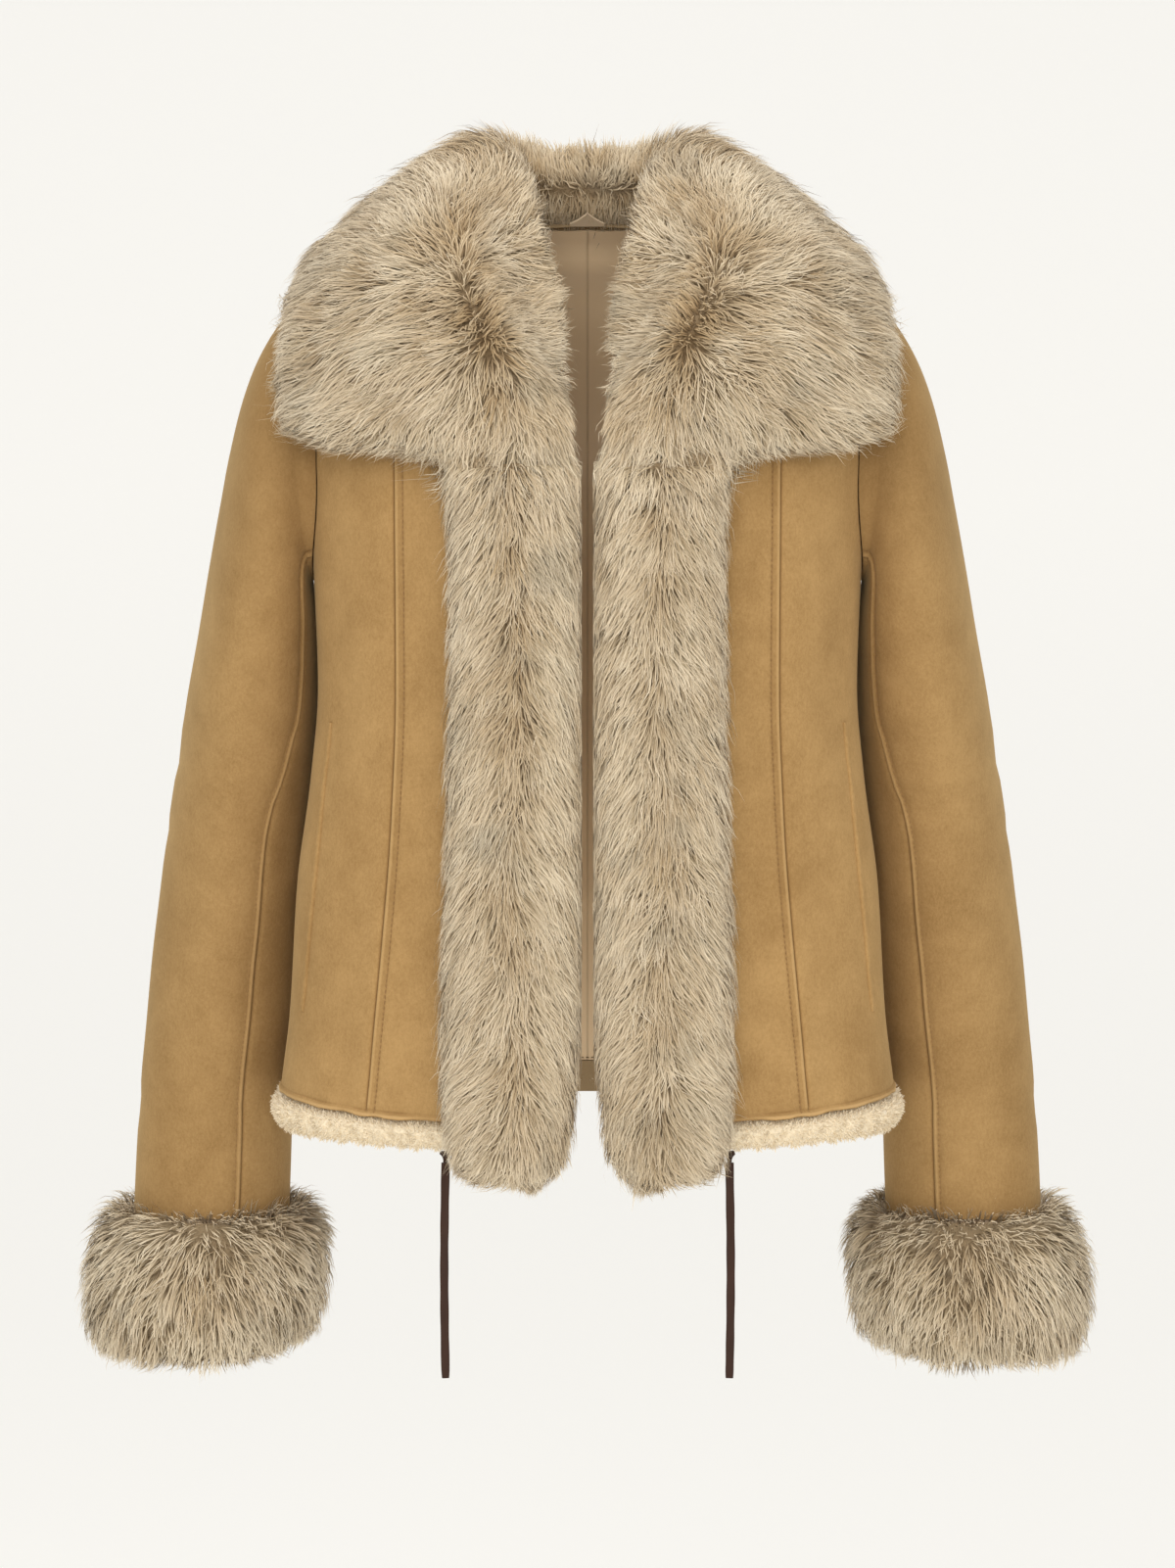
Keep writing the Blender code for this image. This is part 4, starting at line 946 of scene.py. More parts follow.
hemFacing = clothWall("hemFacing", [(*facingGrid(), ("free", "free"))], {}, liningPlan["facingWall"],
                      finishes["facing"], finishes["facing"], through=1.0)
for name in list(shells):
    shells[name[:-1] + "L"] = mirroredPiece(shells[name], name[:-1] + "L")

tabPlan = {"halfWidth": 11.5, "top": 1.0, "base": -7.0, "out": -6.2, "wall": 1.2}


def neckSpot(x, z, out):
    # a point and normal inside the back neck
    ridge = shoulderZ(abs(x))
    roll = np.array([math.pi - math.asin(min((z - yokeZ) / (ridge - yokeZ), 1.0))])
    point = yokePoint(np.array([x]), roll)
    normal = normalOf(yokePoint, np.array([x]), roll)
    return (point + normal * out)[0], normal[0]


def makeTab():
    # a small pointed tab under the fur at the middle of the back neck
    columns, rows = 15, 7
    grid, normals = np.zeros((rows, columns, 3)), np.zeros((rows, columns, 3))
    for i, x in enumerate(np.linspace(-1, 1, columns)):
        peak = mixed(tabPlan["base"] + 1.6, tabPlan["top"], (1 - abs(x)) ** 1.3)
        for j in range(rows):
            z = mixed(tabPlan["base"], peak, j / (rows - 1))
            grid[j, i], normals[j, i] = neckSpot(x * tabPlan["halfWidth"], z, tabPlan["out"])
    return clothWall("hangerTab", [(grid, normals, ("free", "free"))], {}, tabPlan["wall"],
                     finishes["tab"], finishes["tab"], through=1.0)


hangerTab = makeTab()
pipingPlan = {"halfWidth": 50.0, "z": -7.6, "out": -5.6, "radius": 1.0, "sides": 8, "count": 50, "sag": 3.0}


def makePiping():
    # a round piped edge across the top of the lining
    ring = np.linspace(0, 2 * math.pi, pipingPlan["sides"], endpoint=False)
    rows = []
    for x in np.linspace(-1, 1, pipingPlan["count"]):
        spot, normal = neckSpot(x * pipingPlan["halfWidth"], pipingPlan["z"] - pipingPlan["sag"] * x * x,
                                pipingPlan["out"])
        rows.append(spot + pipingPlan["radius"] * (np.outer(np.cos(ring), normal) + np.outer(np.sin(ring), upAxis)))
    piece = meshPiece("neckPiping", np.concatenate(rows), loopFaces(len(rows), pipingPlan["sides"]),
                      [finishes["facing"]], sharp=0)
    fixNormals(piece)
    return piece


neckPiping = makePiping()
print("lining made")


# pocket welts, each a raised strip with its mouth beside it
weltPlan = {"top": (-322, 156.5), "end": (-498, 174.0), "width": 4.0, "rise": 1.0, "under": 0.3, "rows": 60,
            "columns": 9}


def makeWelt():
    # rows down the pocket, each a low arch across it
    grid = np.zeros((weltPlan["rows"], weltPlan["columns"], 3))
    normals = np.zeros_like(grid)
    for j, share in enumerate(np.linspace(1, 0, weltPlan["rows"])):
        z = np.full(weltPlan["columns"], mixed(weltPlan["top"][0], weltPlan["end"][0], share))
        x = mixed(weltPlan["top"][1], weltPlan["end"][1], share)
        side = np.linspace(-0.5, 0.5, weltPlan["columns"])
        angles = angleAt(np.full(len(z), x), z, False) + side * weltPlan["width"] / halfWidth(z)
        crown = (1 - (2 * np.abs(side)) ** 3) * weltPlan["rise"] * min(1.0, 14 * min(share, 1 - share) + 0.35)
        crown = crown + 0.2 * np.sin(j * 1.3) * (1 - 2 * np.abs(side))
        normals[j] = normalOf(ringPoint, angles, z)
        grid[j] = ringPoint(angles, z)
        grid[j] += normals[j] * (foldHeight(bodyFolds, grid[j], normals[j]) + weltPlan["under"] + crown)[:, None]
    return clothWall("pocketWeltR", [(grid, normals, ("free", "free"))], {}, 1.1, suede, suede, through=1.0)


weltR = makeWelt()
weltL = mirroredPiece(weltR, "pocketWeltL")
print("pockets made")


# fur
def mergedMesh(nodes):
    # welded copies of CAD nodes in millimetres: points, vertex normals, triangles
    points, normals, faces = [], [], []
    start = 0
    for name in nodes:
        build = bmesh.new()
        build.from_mesh(frame["nodes"][name].data)
        bmesh.ops.remove_doubles(build, verts=build.verts, dist=1e-6)
        bmesh.ops.triangulate(build, faces=build.faces)
        build.normal_update()
        points.append(np.array([v.co for v in build.verts]) / mm)
        normals.append(np.array([v.normal for v in build.verts]))
        faces.append(np.array([[v.index for v in f.verts] for f in build.faces]) + start)
        start += len(build.verts)
        build.free()
    return np.concatenate(points), np.concatenate(normals), np.concatenate(faces)


furNodes = ["fur_collar_L", "fur_collar_back", "fur_collar_R", "fur_band_L", "fur_band_R", "fur_cuff_L", "fur_cuff_R"]
coatNodes = [n for n in frame["nodes"] if "panel" in n or "side_front" in n or "sleeve" in n]
tuckUp = {"collar": 5.0, "band": 5.0, "cuff": 14.0, "below": -120.0}


def tucked(node, points, normals):
    # the fur's form with its underside raised, since sparse tips reach to the solid's own end
    rise = tuckUp[node.split("_")[1]] * ramp(-normals[:, 2], 0.3, 0.8) * (points[:, 2] < tuckUp["below"])
    return points + upAxis * rise[:, None]


def joinedTree(nodes):
    points, faces, start = [], [], 0
    for name in nodes:
        cloud, normals, mesh = mergedMesh([name])
        points.append(tucked(name, cloud, normals))
        faces.append(mesh + start)
        start += len(cloud)
    return BVHTree.FromPolygons(np.concatenate(points).tolist(), np.concatenate(faces).tolist())


furTree = joinedTree(furNodes)


def nearestOn(tree, places):
    found = [tree.find_nearest(Vector(p)) for p in places]
    return np.array([f[0] for f in found]), np.array([f[1] for f in found])


def openFaces(node, points, faces):
    # 1 for faces that nothing lies against, 0 for those pressed on the coat or on the next piece
    otherPoints, _, otherFaces = mergedMesh([n for n in coatNodes + furNodes if n != node])
    others = BVHTree.FromPolygons(otherPoints.tolist(), otherFaces.tolist())
    corners = points[faces]
    centre = corners.mean(axis=1)
    cross = np.cross(corners[:, 1] - corners[:, 0], corners[:, 2] - corners[:, 0])
    normal = unit(cross)
    free = np.array([others.ray_cast(Vector(c), Vector(n), furSkin["clear"])[0] is None
                     for c, n in zip(centre, normal)], float)
    # the way the skin is drawn in: away from its open faces alone, so that pressed ends stay put
    drawn = np.zeros_like(points)
    for corner in range(3):
        np.add.at(drawn, faces[:, corner], cross * free[:, None])
    drawn = unit(drawn) * (np.linalg.norm(drawn, axis=1, keepdims=True) > 1e-6)
    # thin places, such as the lip inside the neck, are drawn in less
    own = BVHTree.FromPolygons(points.tolist(), faces.tolist())
    depth = np.full(len(points), furSkin["drawnIn"])
    for i, (p, d) in enumerate(zip(points, drawn)):
        hit = own.ray_cast(Vector(p - d * 0.2), Vector(-d), 30.0) if d.any() else (None,)
        if hit[0] is not None:
            depth[i] = min(depth[i], furSkin["thinShare"] * (hit[3] + 0.2))
    edges = np.unique(np.sort(np.concatenate([faces[:, (0, 1)], faces[:, (1, 2)], faces[:, (2, 0)]]), axis=1), axis=0)
    step = furSkin["slope"] * np.linalg.norm(points[edges[:, 0]] - points[edges[:, 1]], axis=1)
    for _ in range(8):
        np.minimum.at(depth, edges[:, 0], depth[edges[:, 1]] + step)
        np.minimum.at(depth, edges[:, 1], depth[edges[:, 0]] + step)
    return free, drawn, depth


def lockHomes(root, count, plan, rng):
    # the guide hair that each hair leans to
    guideCount = max(count // plan["perLock"], 8)
    guides = rng.choice(count, guideCount, replace=False)
    tree = KDTree(guideCount)
    for i, g in enumerate(guides):
        tree.insert(Vector(root[g]), i)
    tree.balance()
    return guides[np.array([tree.find(Vector(p))[1] for p in root])]


def hairRoots(points, normals, faces, depth, weight, count, rng):
    # spots scattered over the faces by weight, with the form's normal and the skin's depth at each
    pick = rng.choice(len(weight), size=count, p=weight / weight.sum())
    u, v = rng.random(count), rng.random(count)
    u, v = np.where(u + v > 1, 1 - u, u), np.where(u + v > 1, 1 - v, v)
    shares, at = np.stack([1 - u - v, u, v], axis=1), faces[pick]
    root = (points[at] * shares[..., None]).sum(1)
    up = unit((normals[at] * shares[..., None]).sum(1))
    return root, up, (depth[at] * shares).sum(1)


def combHairs(here, up, length, stray, lockSize, slack, comb, plan):
    # each hair's steps along the comb, held near the form and no further out than its reach
    shares, path, ups = plan["shares"], [here], [up]
    for k in range(1, len(shares)):
        way, stand, size, loose = comb(here, up)
        if k == 1:
            length = length * size * mixed(0.85, 1.1, lockSize)
            standing, looseness = stand, loose
        side = np.cross(up, way)
        way = way * np.cos(stray)[:, None] + side * np.sin(stray)[:, None]
        way = unit(way * (1 - standing)[:, None] + up * standing[:, None])
        step = length * (shares[k] - shares[k - 1])
        there = here + way * step[:, None]
        surface, faceNormal = nearestOn(furTree, there)
        hold = (plan["hold"][k] * (1 - standing))[:, None]
        away = there - surface
        far = np.linalg.norm(away, axis=1)
        outside = (away * faceNormal).sum(1) > 0
        reach = (plan["reach"] * looseness + plan["crest"] * ramp(surface[:, 2], 8.0, 30.0)) * slack
        short = np.where(outside & (far > reach), np.maximum(reach / np.maximum(far, 1e-6), 0.2), 1.0)
        there = here + (surface + away * (1 - hold) - here) * short[:, None]
        there[:, 2] -= plan["droop"] * step * shares[k]
        up = unit(up * 0.6 + faceNormal * 0.4)
        path.append(there)
        ups.append(up)
        here = there
    return np.array(path), np.array(ups), standing


def growHairs(points, normals, faces, free, depth, comb, crowd, plan, rng):
    # paths of hairs that follow the comb direction over the fur's form
    corners = points[faces]
    cross = np.cross(corners[:, 1] - corners[:, 0], corners[:, 2] - corners[:, 0])
    weight = np.linalg.norm(cross, axis=1) * free * crowd(corners.mean(axis=1), unit(cross))
    count = plan["count"] // 1
    root, up, deep = hairRoots(points, normals, faces, depth, weight, count, rng)
    sink, shares = plan["sink"] / furSkin["drawnIn"] * deep, plan["shares"]
    length = plan["length"] * np.exp(plan["vary"] * rng.normal(size=count).clip(-2, 2))
    length *= np.where(rng.random(count) < plan["longShare"], plan["longer"], 1.0)
    stray = plan["stray"] * rng.normal(size=count)
    home = lockHomes(root, count, plan, rng)
    lockSize = rng.random(count)[home]
    slack = (0.3 + 1.5 * lockSize ** 1.7) * (0.7 + 0.5 * rng.random(count))
    path, ups, standing = combHairs(root, up, length, stray, lockSize, slack, comb, plan)
    lift = plan["lift"] * (0.4 + 1.2 * rng.random(count) ** 1.5)
    for k, share in enumerate(shares):
        rise = -sink + (sink + lift) * (1 - (1 - share) ** 1.7)
        path[k] += ups[k] * (rise * (1 - 0.8 * standing * share))[:, None]
    # locks: hairs lean towards their guide hair as they near their tips
    pull = plan["pull"] * rng.random(count) ** 0.7
    lockTone = rng.random(count)[home]
    for k, share in enumerate(shares):
        path[k] += (path[k][home] - path[k]) * (pull * share ** 1.2)[:, None]
        path[k] += rng.normal(size=(count, 3)) * plan["curl"] * share
    tone = 0.55 * lockTone + 0.45 * rng.random(count)
    dark = rng.random(count) < plan["dark"] * ramp(root[:, 2], -120.0, -10.0)
    # the opening stays clear of hair
    apart = openingClear["least"] + openingClear["more"] * rng.random(count) ** 1.6
    crossing = (path[..., 0] * np.sign(root[:, 0]) < apart) & (path[..., 1] < openingClear["front"])
    path[..., 0] = np.where(crossing, np.sign(root[:, 0]) * apart, path[..., 0])
    return path, ups, tone, dark, root


def ribbonsOf(path, ups, tone, plan, rng):
    # thin tapered ribbons along the paths, which share the form's normals for soft shading
    steps, count = path.shape[:2]
    width = plan["width"] * (0.65 + 0.7 * rng.random(count))
    roll = np.clip(plan["roll"] * rng.normal(size=count), -1.0, 1.0)
    points, shade = [], []
    for k in range(steps):
        along = unit(path[min(k + 1, steps - 1)] - path[max(k - 1, 0)])
        side = unit(np.cross(along, ups[k]))
        out = np.cross(side, along)
        across = side * np.cos(roll)[:, None] + out * np.sin(roll)[:, None]
        facing = unit(np.cross(across, along))
        soft = unit(ups[k] * plan["soft"] + facing * (1 - plan["soft"]) + along * 0.15)
        if k == steps - 1:
            points.append(path[k])
            shade.append(soft)
        else:
            half = (width * plan["taper"][k] / 2)[:, None]
            points += [path[k] - across * half, path[k] + across * half]
            shade += [soft, soft]
    per = len(points)
    pattern = []
    for k in range(steps - 2):
        pattern += [(2 * k, 2 * k + 1, 2 * k + 3), (2 * k, 2 * k + 3, 2 * k + 2)]
    pattern.append((per - 3, per - 2, per - 1))
    faces = (np.arange(count)[:, None, None] * per + np.array(pattern)[None]).reshape(-1, 3)
    cloud = np.stack(points, axis=1).reshape(-1, 3)
    shading = np.stack(shade, axis=1).reshape(-1, 3)
    a, b, c = (cloud[faces[:, i]] for i in range(3))
    inward = (np.cross(b - a, c - a) * shading[faces[:, 0]]).sum(1) < 0
    faces[inward] = faces[inward][:, ::-1]
    v = np.array([share for share in plan["shares"][:-1] for _ in range(2)] + [1.0])
    uv = np.stack([np.repeat(tone, per), np.tile(v, count)], axis=1)
    return cloud, shading, faces, uv


def growFur(name, node, comb, crowd, stain, plans, seed):
    # one fur piece: its skin, drawn in a little, and layers of hair
    rng = np.random.default_rng(seed)
    points, normals, faces = mergedMesh([node])
    points = tucked(node, points, normals)
    free, drawn, depth = openFaces(node, points, faces)
    skin = points - drawn * depth[:, None]
    skinTone = np.clip(0.5 + stain(points), 0, 1)
    clouds, shades, meshes = [skin], [normals], [faces]
    # the skin under the hair takes the hair's colour near its root: the underfur's own colour, and painted shade in
    # the gaps between hairs
    uvs = [np.stack([skinTone, np.full(len(skin), furSkin["along"])], axis=1)]
    start = len(skin)
    for plan in plans:
        path, ups, tone, dark, root = growHairs(points, normals, faces, free, depth, comb, crowd, plan, rng)
        tone = np.where(dark, 1.5, np.clip(tone * 0.55 + 0.12 + stain(root), 0.02, 0.98))
        for k, share in enumerate(plan["shares"]):
            path[k], ups[k] = overJoin(path[k], ups[k], share)
        cloud, shading, hair, uv = ribbonsOf(path, ups, tone, plan, rng)
        clouds.append(cloud)
        shades.append(shading)
        meshes.append(hair + start)
        uvs.append(uv)
        start += len(cloud)
    allFaces = np.concatenate(meshes)
    piece = meshPiece(name, np.concatenate(clouds), allFaces, [finishes["collarFur"]],
                      uv=np.concatenate(uvs), uvName="strand", sharp=0)
    if len(piece.data.vertices) == start:
        piece.data.normals_split_custom_set_from_vertices(np.concatenate(shades).tolist())
    claim(piece, "fox_fur", node)
    print(name, len(allFaces), "triangles")


openingClear = {"least": 3.4, "more": 4.0, "front": -40.0}  # how far hair stays from the coat's middle
furSkin = {"drawnIn": 5.0, "clear": 4.5, "thinShare": 0.3, "slope": 0.15, "along": 0.16}
parting = (np.array([61.0, -141.0, -88.0]), np.array([75.0, -128.0, -52.0]))  # where the collar's hair parts
partingStretch = np.array([1.0, 0.4, 1.0])
collarMiddle = np.array([0.0, 5.0, 0.0])
acrossOnly = np.array([1.0, 1.0, 0.0])
furZones = {  # on the right half: 0 or x, 1 or y, 2 or z, where the zone starts and from where it is full
    "lip": ((0, 48, 38), (1, -86, -98), (2, -150, -125), (2, -42, -60)),  # the collar's thin edge in the opening
    "join": ((2, -138, -156), (0, 96, 84), (1, -60, -90)),  # the collar's end, whose hair lies over the band
    "bridge": ((2, -122, -142), (2, -190, -168), (0, 90, 78), (1, -60, -90)),
    "behind": ((1, -70, 10),),
    "neck": ((2, -60, -20), (1, -105, -70)),
    "backNeck": ((2, 20, 0), (1, -20, 20)),
    "lower": ((2, -120, -165), (1, -60, -100), (0, 95, 70)),
    "ridge": ((2, 16, 32), (0, 62, 48), (1, 0, 30)),
    "front": ((1, -40, -80),),
    "under": ((2, -120, -150), (1, -60, -90)),
    "inside": ((0, 42, 30), (1, -30, -70)),
    "bandFoot": ((2, -490, -550),),
    "bandEnd": ((2, -530, -580),),
    "bandTop": ((2, -192, -165),),
    "cuffTop": ((2, -656, -636),),
    "cuffUpper": ((2, -705, -655),),
    "cuffInner": ((0, 225, 210),),
}


def inZone(p, name):
    # 0 outside a zone, 1 well inside it
    share = 1.0
    for axis, start, full in furZones[name]:
        share = share * ramp(p[:, axis], start, full)
    return share


def flattenTo(way, normals):
    return unit(way - (way * normals).sum(1, keepdims=True) * normals)


def onRight(places):
    # 1 or -1 in x, to read the left half as its mirror image
    return np.where(places[:, :1] < 0, -1.0, 1.0) * np.array([[1.0, 0, 0]]) + np.array([[0.0, 1.0, 1.0]])


def fromParting(p):
    line = parting[1] - parting[0]
    share = np.clip((p - parting[0]) @ line / (line @ line), 0, 1)[:, None]
    return p - parting[0] - share * line


def collarComb(places, normals):
    # from the parting outwards in front, over the roll and down behind, up inside the neck
    side = onRight(places)
    p, n = places * side, normals * side
    fromLine = fromParting(p)
    far = np.linalg.norm(fromLine * partingStretch, axis=1)
    away = unit((p - collarMiddle) * acrossOnly)
    behind = inZone(p, "behind")[:, None]
    way = unit(unit(fromLine) * (1 - behind) + unit(away * 0.75 - upAxis * 0.8) * behind)
    inward = (ramp(-(n * away).sum(1), 0.15, 0.65) * inZone(p, "neck"))[:, None]
    turnDown = (1 - 2 * inZone(p, "backNeck"))[:, None]
    way = way * (1 - inward) + (upAxis * turnDown + away * 0.2) * inward
    down = np.stack([np.where(p[:, 0] > 43, 0.4, -0.35), 0 * far, np.full(len(p), -1.0)], axis=1)
    way = unit(mixed(way, unit(down), 0.7 * inZone(p, "lower")[:, None]))
    swirl = (0.25 * softNoise(p, 60.0, 5) + 0.2 * softNoise(p, 22.0, 15))[:, None]
    way = flattenTo(way, n)
    way = unit(way + np.cross(n, way) * swirl)
    edge, ridge, joined = inZone(p, "lip"), inZone(p, "ridge"), inZone(p, "join")
    stand = 0.4 * (1 - ramp(far, 2.0, 16.0)) * inZone(p, "front")
    stand = np.clip(stand + 0.3 * edge * (n[:, 0] < -0.4) + 0.55 * ridge, 0, 0.8)
    short = mixed(0.6, 1.0, ramp(far, 4.0, 36.0)) * (1 - 0.3 * inward[:, 0] * (1 - ridge))
    under = inZone(p, "under") * (1 - joined)
    loose = (1 + 0.3 * edge + 3.0 * joined + 1.6 * ridge) * (1 - 0.12 * under) * (1 - 0.6 * inZone(p, "inside"))
    return way * side, stand, short * (1 + 0.65 * joined), loose


def overJoin(places, ups, share):
    # hair over the join of collar and band is lifted across it and shaded as one front surface
    p = places * onRight(places)
    near = inZone(p, "bridge")
    facing = unit(mixed(ups, np.array([0, -1.0, 0.3]), 0.8 * near[:, None]))
    bridge = 3.5 * share * near * np.exp(-((p[:, 2] + 166.0) / 9.0) ** 2)
    return places + facing * bridge[:, None], facing


def bandMiddle(z):
    return 43 + 2.5 * np.sin(z / 38.0) + 1.5 * np.sin(z / 17.0 + 1.0)


bandHair = {"lean": 0.62, "endLean": 0.45, "wave": 0.12, "fineWave": 0.14, "flare": 0.6}


def bandComb(places, normals):
    # parted down the middle of the band, both halves outwards and down
    side = onRight(places)
    p, n = places * side, normals * side
    off = p[:, 0] - bandMiddle(p[:, 2])
    flare, edge = ramp(off, 4.0, 16.0) * inZone(p, "bandFoot"), ramp(-off, 12.0, 32.0)
    top = inZone(p, "bandTop") * ramp(off, -26.0, -8.0)
    lean = np.where(off > 0, bandHair["lean"], -bandHair["lean"]) * ramp(np.abs(off), 0.0, 12.0)
    lean = lean * mixed(1.0, bandHair["endLean"], inZone(p, "bandEnd")) + bandHair["wave"] * softNoise(p, 45.0, 6)
    lean = lean * (1 - 0.35 * edge) + bandHair["fineWave"] * softNoise(p, 19.0, 16) + bandHair["flare"] * flare
    way = np.stack([lean, 0 * lean, np.full(len(lean), -1.0)], axis=1)
    stand = 0.10 * (1 - ramp(np.abs(off), 0.0, 8.0)) + 0.12 * flare + 0.1 * top
    return flattenTo(way, n) * side, stand, np.ones(len(p)), (1 + 0.9 * flare + 1.1 * top) * (1 - 0.62 * edge)


cuffHair = {"middle": (240.0, 61.0, 0.0), "fanX": 238.0, "fanWidth": 34.0, "topLength": 0.62, "loose": 0.68}


def cuffComb(places, normals):
    # a fan from the upper middle, outwards along the top edge, then out and down
    side = onRight(places)
    p, n = places * side, normals * side
    radial = unit((p - np.array(cuffHair["middle"])) * acrossOnly)
    top = inZone(p, "cuffTop")
    upward, spread = top[:, None], 0.2 + 0.65 * inZone(p, "cuffUpper")
    fan = np.clip((p[:, 0] - cuffHair["fanX"]) / cuffHair["fanWidth"], -1, 1) * spread
    way = radial * (0.25 + 0.6 * upward) + fan[:, None] * np.array([1.0, 0, 0]) + upAxis * (upward - 1)
    way = way + 0.2 * softNoise(p, 35.0, 7)[:, None] * np.cross(n, way)
    loose = cuffHair["loose"] - 0.2 * inZone(p, "cuffInner")
    return flattenTo(way, n) * side, 0.12 + 0.18 * top, mixed(1.0, cuffHair["topLength"], top), loose


# how closely the hair stands, more where the photo shows it near and less where it lies against the wearer
def collarCrowd(places, normals):
    p, n = places * onRight(places), normals * onRight(places)
    hidden = ramp(p[:, 1], 10.0, 40.0) * ramp(n[:, 1], 0.0, 0.4)
    parted = np.exp(-(np.linalg.norm(fromParting(p) * partingStretch, axis=1) / 9.0) ** 2)
    return (1 - 0.45 * hidden) * (1 + 1.6 * inZone(p, "lip") + 1.3 * inZone(p, "join") + 1.3 * parted)


def backCrowd(places, normals):
    seen = np.maximum(ramp(-normals[:, 1], -0.2, 0.3), ramp(places[:, 2], 22.0, 34.0))
    return 0.55 + 1.7 * seen


def bandCrowd(places, normals):
    return 1 - 0.6 * ramp(normals[:, 1], 0.2, 0.6)


def evenCrowd(places, normals):
    return np.ones(len(places))


def collarStain(p):
    # brown at the parting and on the upper collar, in soft patches elsewhere
    q = p * onRight(p)
    near = np.exp(-(np.linalg.norm(fromParting(q) * np.array([1.0, 0.3, 0.8]), axis=1) / 15.0) ** 2)
    streak = np.exp(-((q[:, 0] - 54.0) / 10.0) ** 2) * ramp(-q[:, 2], 80.0, 100.0)
    upper = np.exp(-((q[:, 0] - 70.0) / 20.0) ** 2) * ramp(q[:, 2], -60.0, -20.0)
    neck = ramp(40.0 - np.linalg.norm(q * np.array([0.6, 0.9, 0.0]), axis=1), 0.0, 12.0) * ramp(q[:, 2], -20.0, 5.0)
    patches = 0.30 * softNoise(q, 38.0, 8) + 0.12 * softNoise(q, 15.0, 9)
    return 0.55 * near + 0.25 * streak + 0.28 * upper + 0.38 * neck + patches - 0.10


def bandStain(p):
    part = np.exp(-((np.abs(p[:, 0]) - bandMiddle(p[:, 2])) / 7.0) ** 2)
    return 0.40 * part * (0.7 + 0.5 * softNoise(p, 50.0, 10)) + 0.16 * softNoise(p, 30.0, 11) - 0.10


def cuffStain(p):
    upper = np.exp(-((np.abs(p[:, 0]) - 238.0) / 26.0) ** 2 - ((p[:, 2] + 664.0) / 24.0) ** 2)
    return 0.5 * upper + 0.13 * softNoise(p, 30.0, 12) - 0.26


overHair = {
    "count": 16500, "length": 30.0, "vary": 0.22, "longShare": 0.04, "longer": 1.25,
    "shares": (0.0, 0.33, 0.68, 1.0), "hold": (0, 0.92, 0.7, 0.35), "perLock": 22, "stray": 0.19,
    "droop": 0.04, "lift": 4.5, "sink": 4.0, "pull": 0.65, "curl": 0.4, "width": 0.7, "roll": 0.45,
    "taper": (0.8, 1.0, 0.7, 0.0), "soft": 0.72, "reach": 6.5, "crest": 6.0, "dark": 0.0,
}
underHair = {**overHair, "count": 17000, "length": 17.0, "shares": (0.0, 0.5, 1.0), "hold": (0, 0.8, 0.3),
             "perLock": 60, "stray": 0.42, "pull": 0.3, "lift": 2.5, "width": 0.98, "taper": (1.0, 0.85, 0.0)}
looseHair = {**overHair, "count": 2000, "length": 27.0, "hold": (0, 0.8, 0.5, 0.15), "perLock": 5, "stray": 0.4,
             "lift": 7.0, "pull": 0.35, "width": 0.4, "reach": 7.0, "dark": 0.3}
furLayers = {  # each piece's layers of hair, from the skin outwards
    "collar": [underHair, overHair, looseHair],
    "back": [{**underHair, "count": 11000}, {**overHair, "count": 9500, "length": 26.0, "crest": 11.0},
             {**looseHair, "count": 700, "crest": 12.0}],
    "band": [{**underHair, "count": 11500, "stray": 0.3}, {**overHair, "count": 11500, "length": 28.0},
             {**looseHair, "count": 900}],
    "cuff": [{**underHair, "count": 7400},
             {**overHair, "count": 7400, "length": 28.0, "lift": 5.0, "stray": 0.22, "pull": 0.42, "width": 0.8,
              "hold": (0, 0.8, 0.45, 0.1)},
             {**looseHair, "count": 420}],
}
for letter, side in (("L", -1), ("R", 1)):
    growFur(f"furCollar{letter}", f"fur_collar_{letter}", collarComb, collarCrowd, collarStain,
            furLayers["collar"], 11 + side)
    growFur(f"furBand{letter}", f"fur_band_{letter}", bandComb, bandCrowd, bandStain, furLayers["band"], 21 + side)
    growFur(f"furCuff{letter}", f"fur_cuff_{letter}", cuffComb, evenCrowd, cuffStain, furLayers["cuff"], 31 + side)
growFur("furCollarBack", "fur_collar_back", collarComb, backCrowd, collarStain, furLayers["back"], 41)
print("fur made")


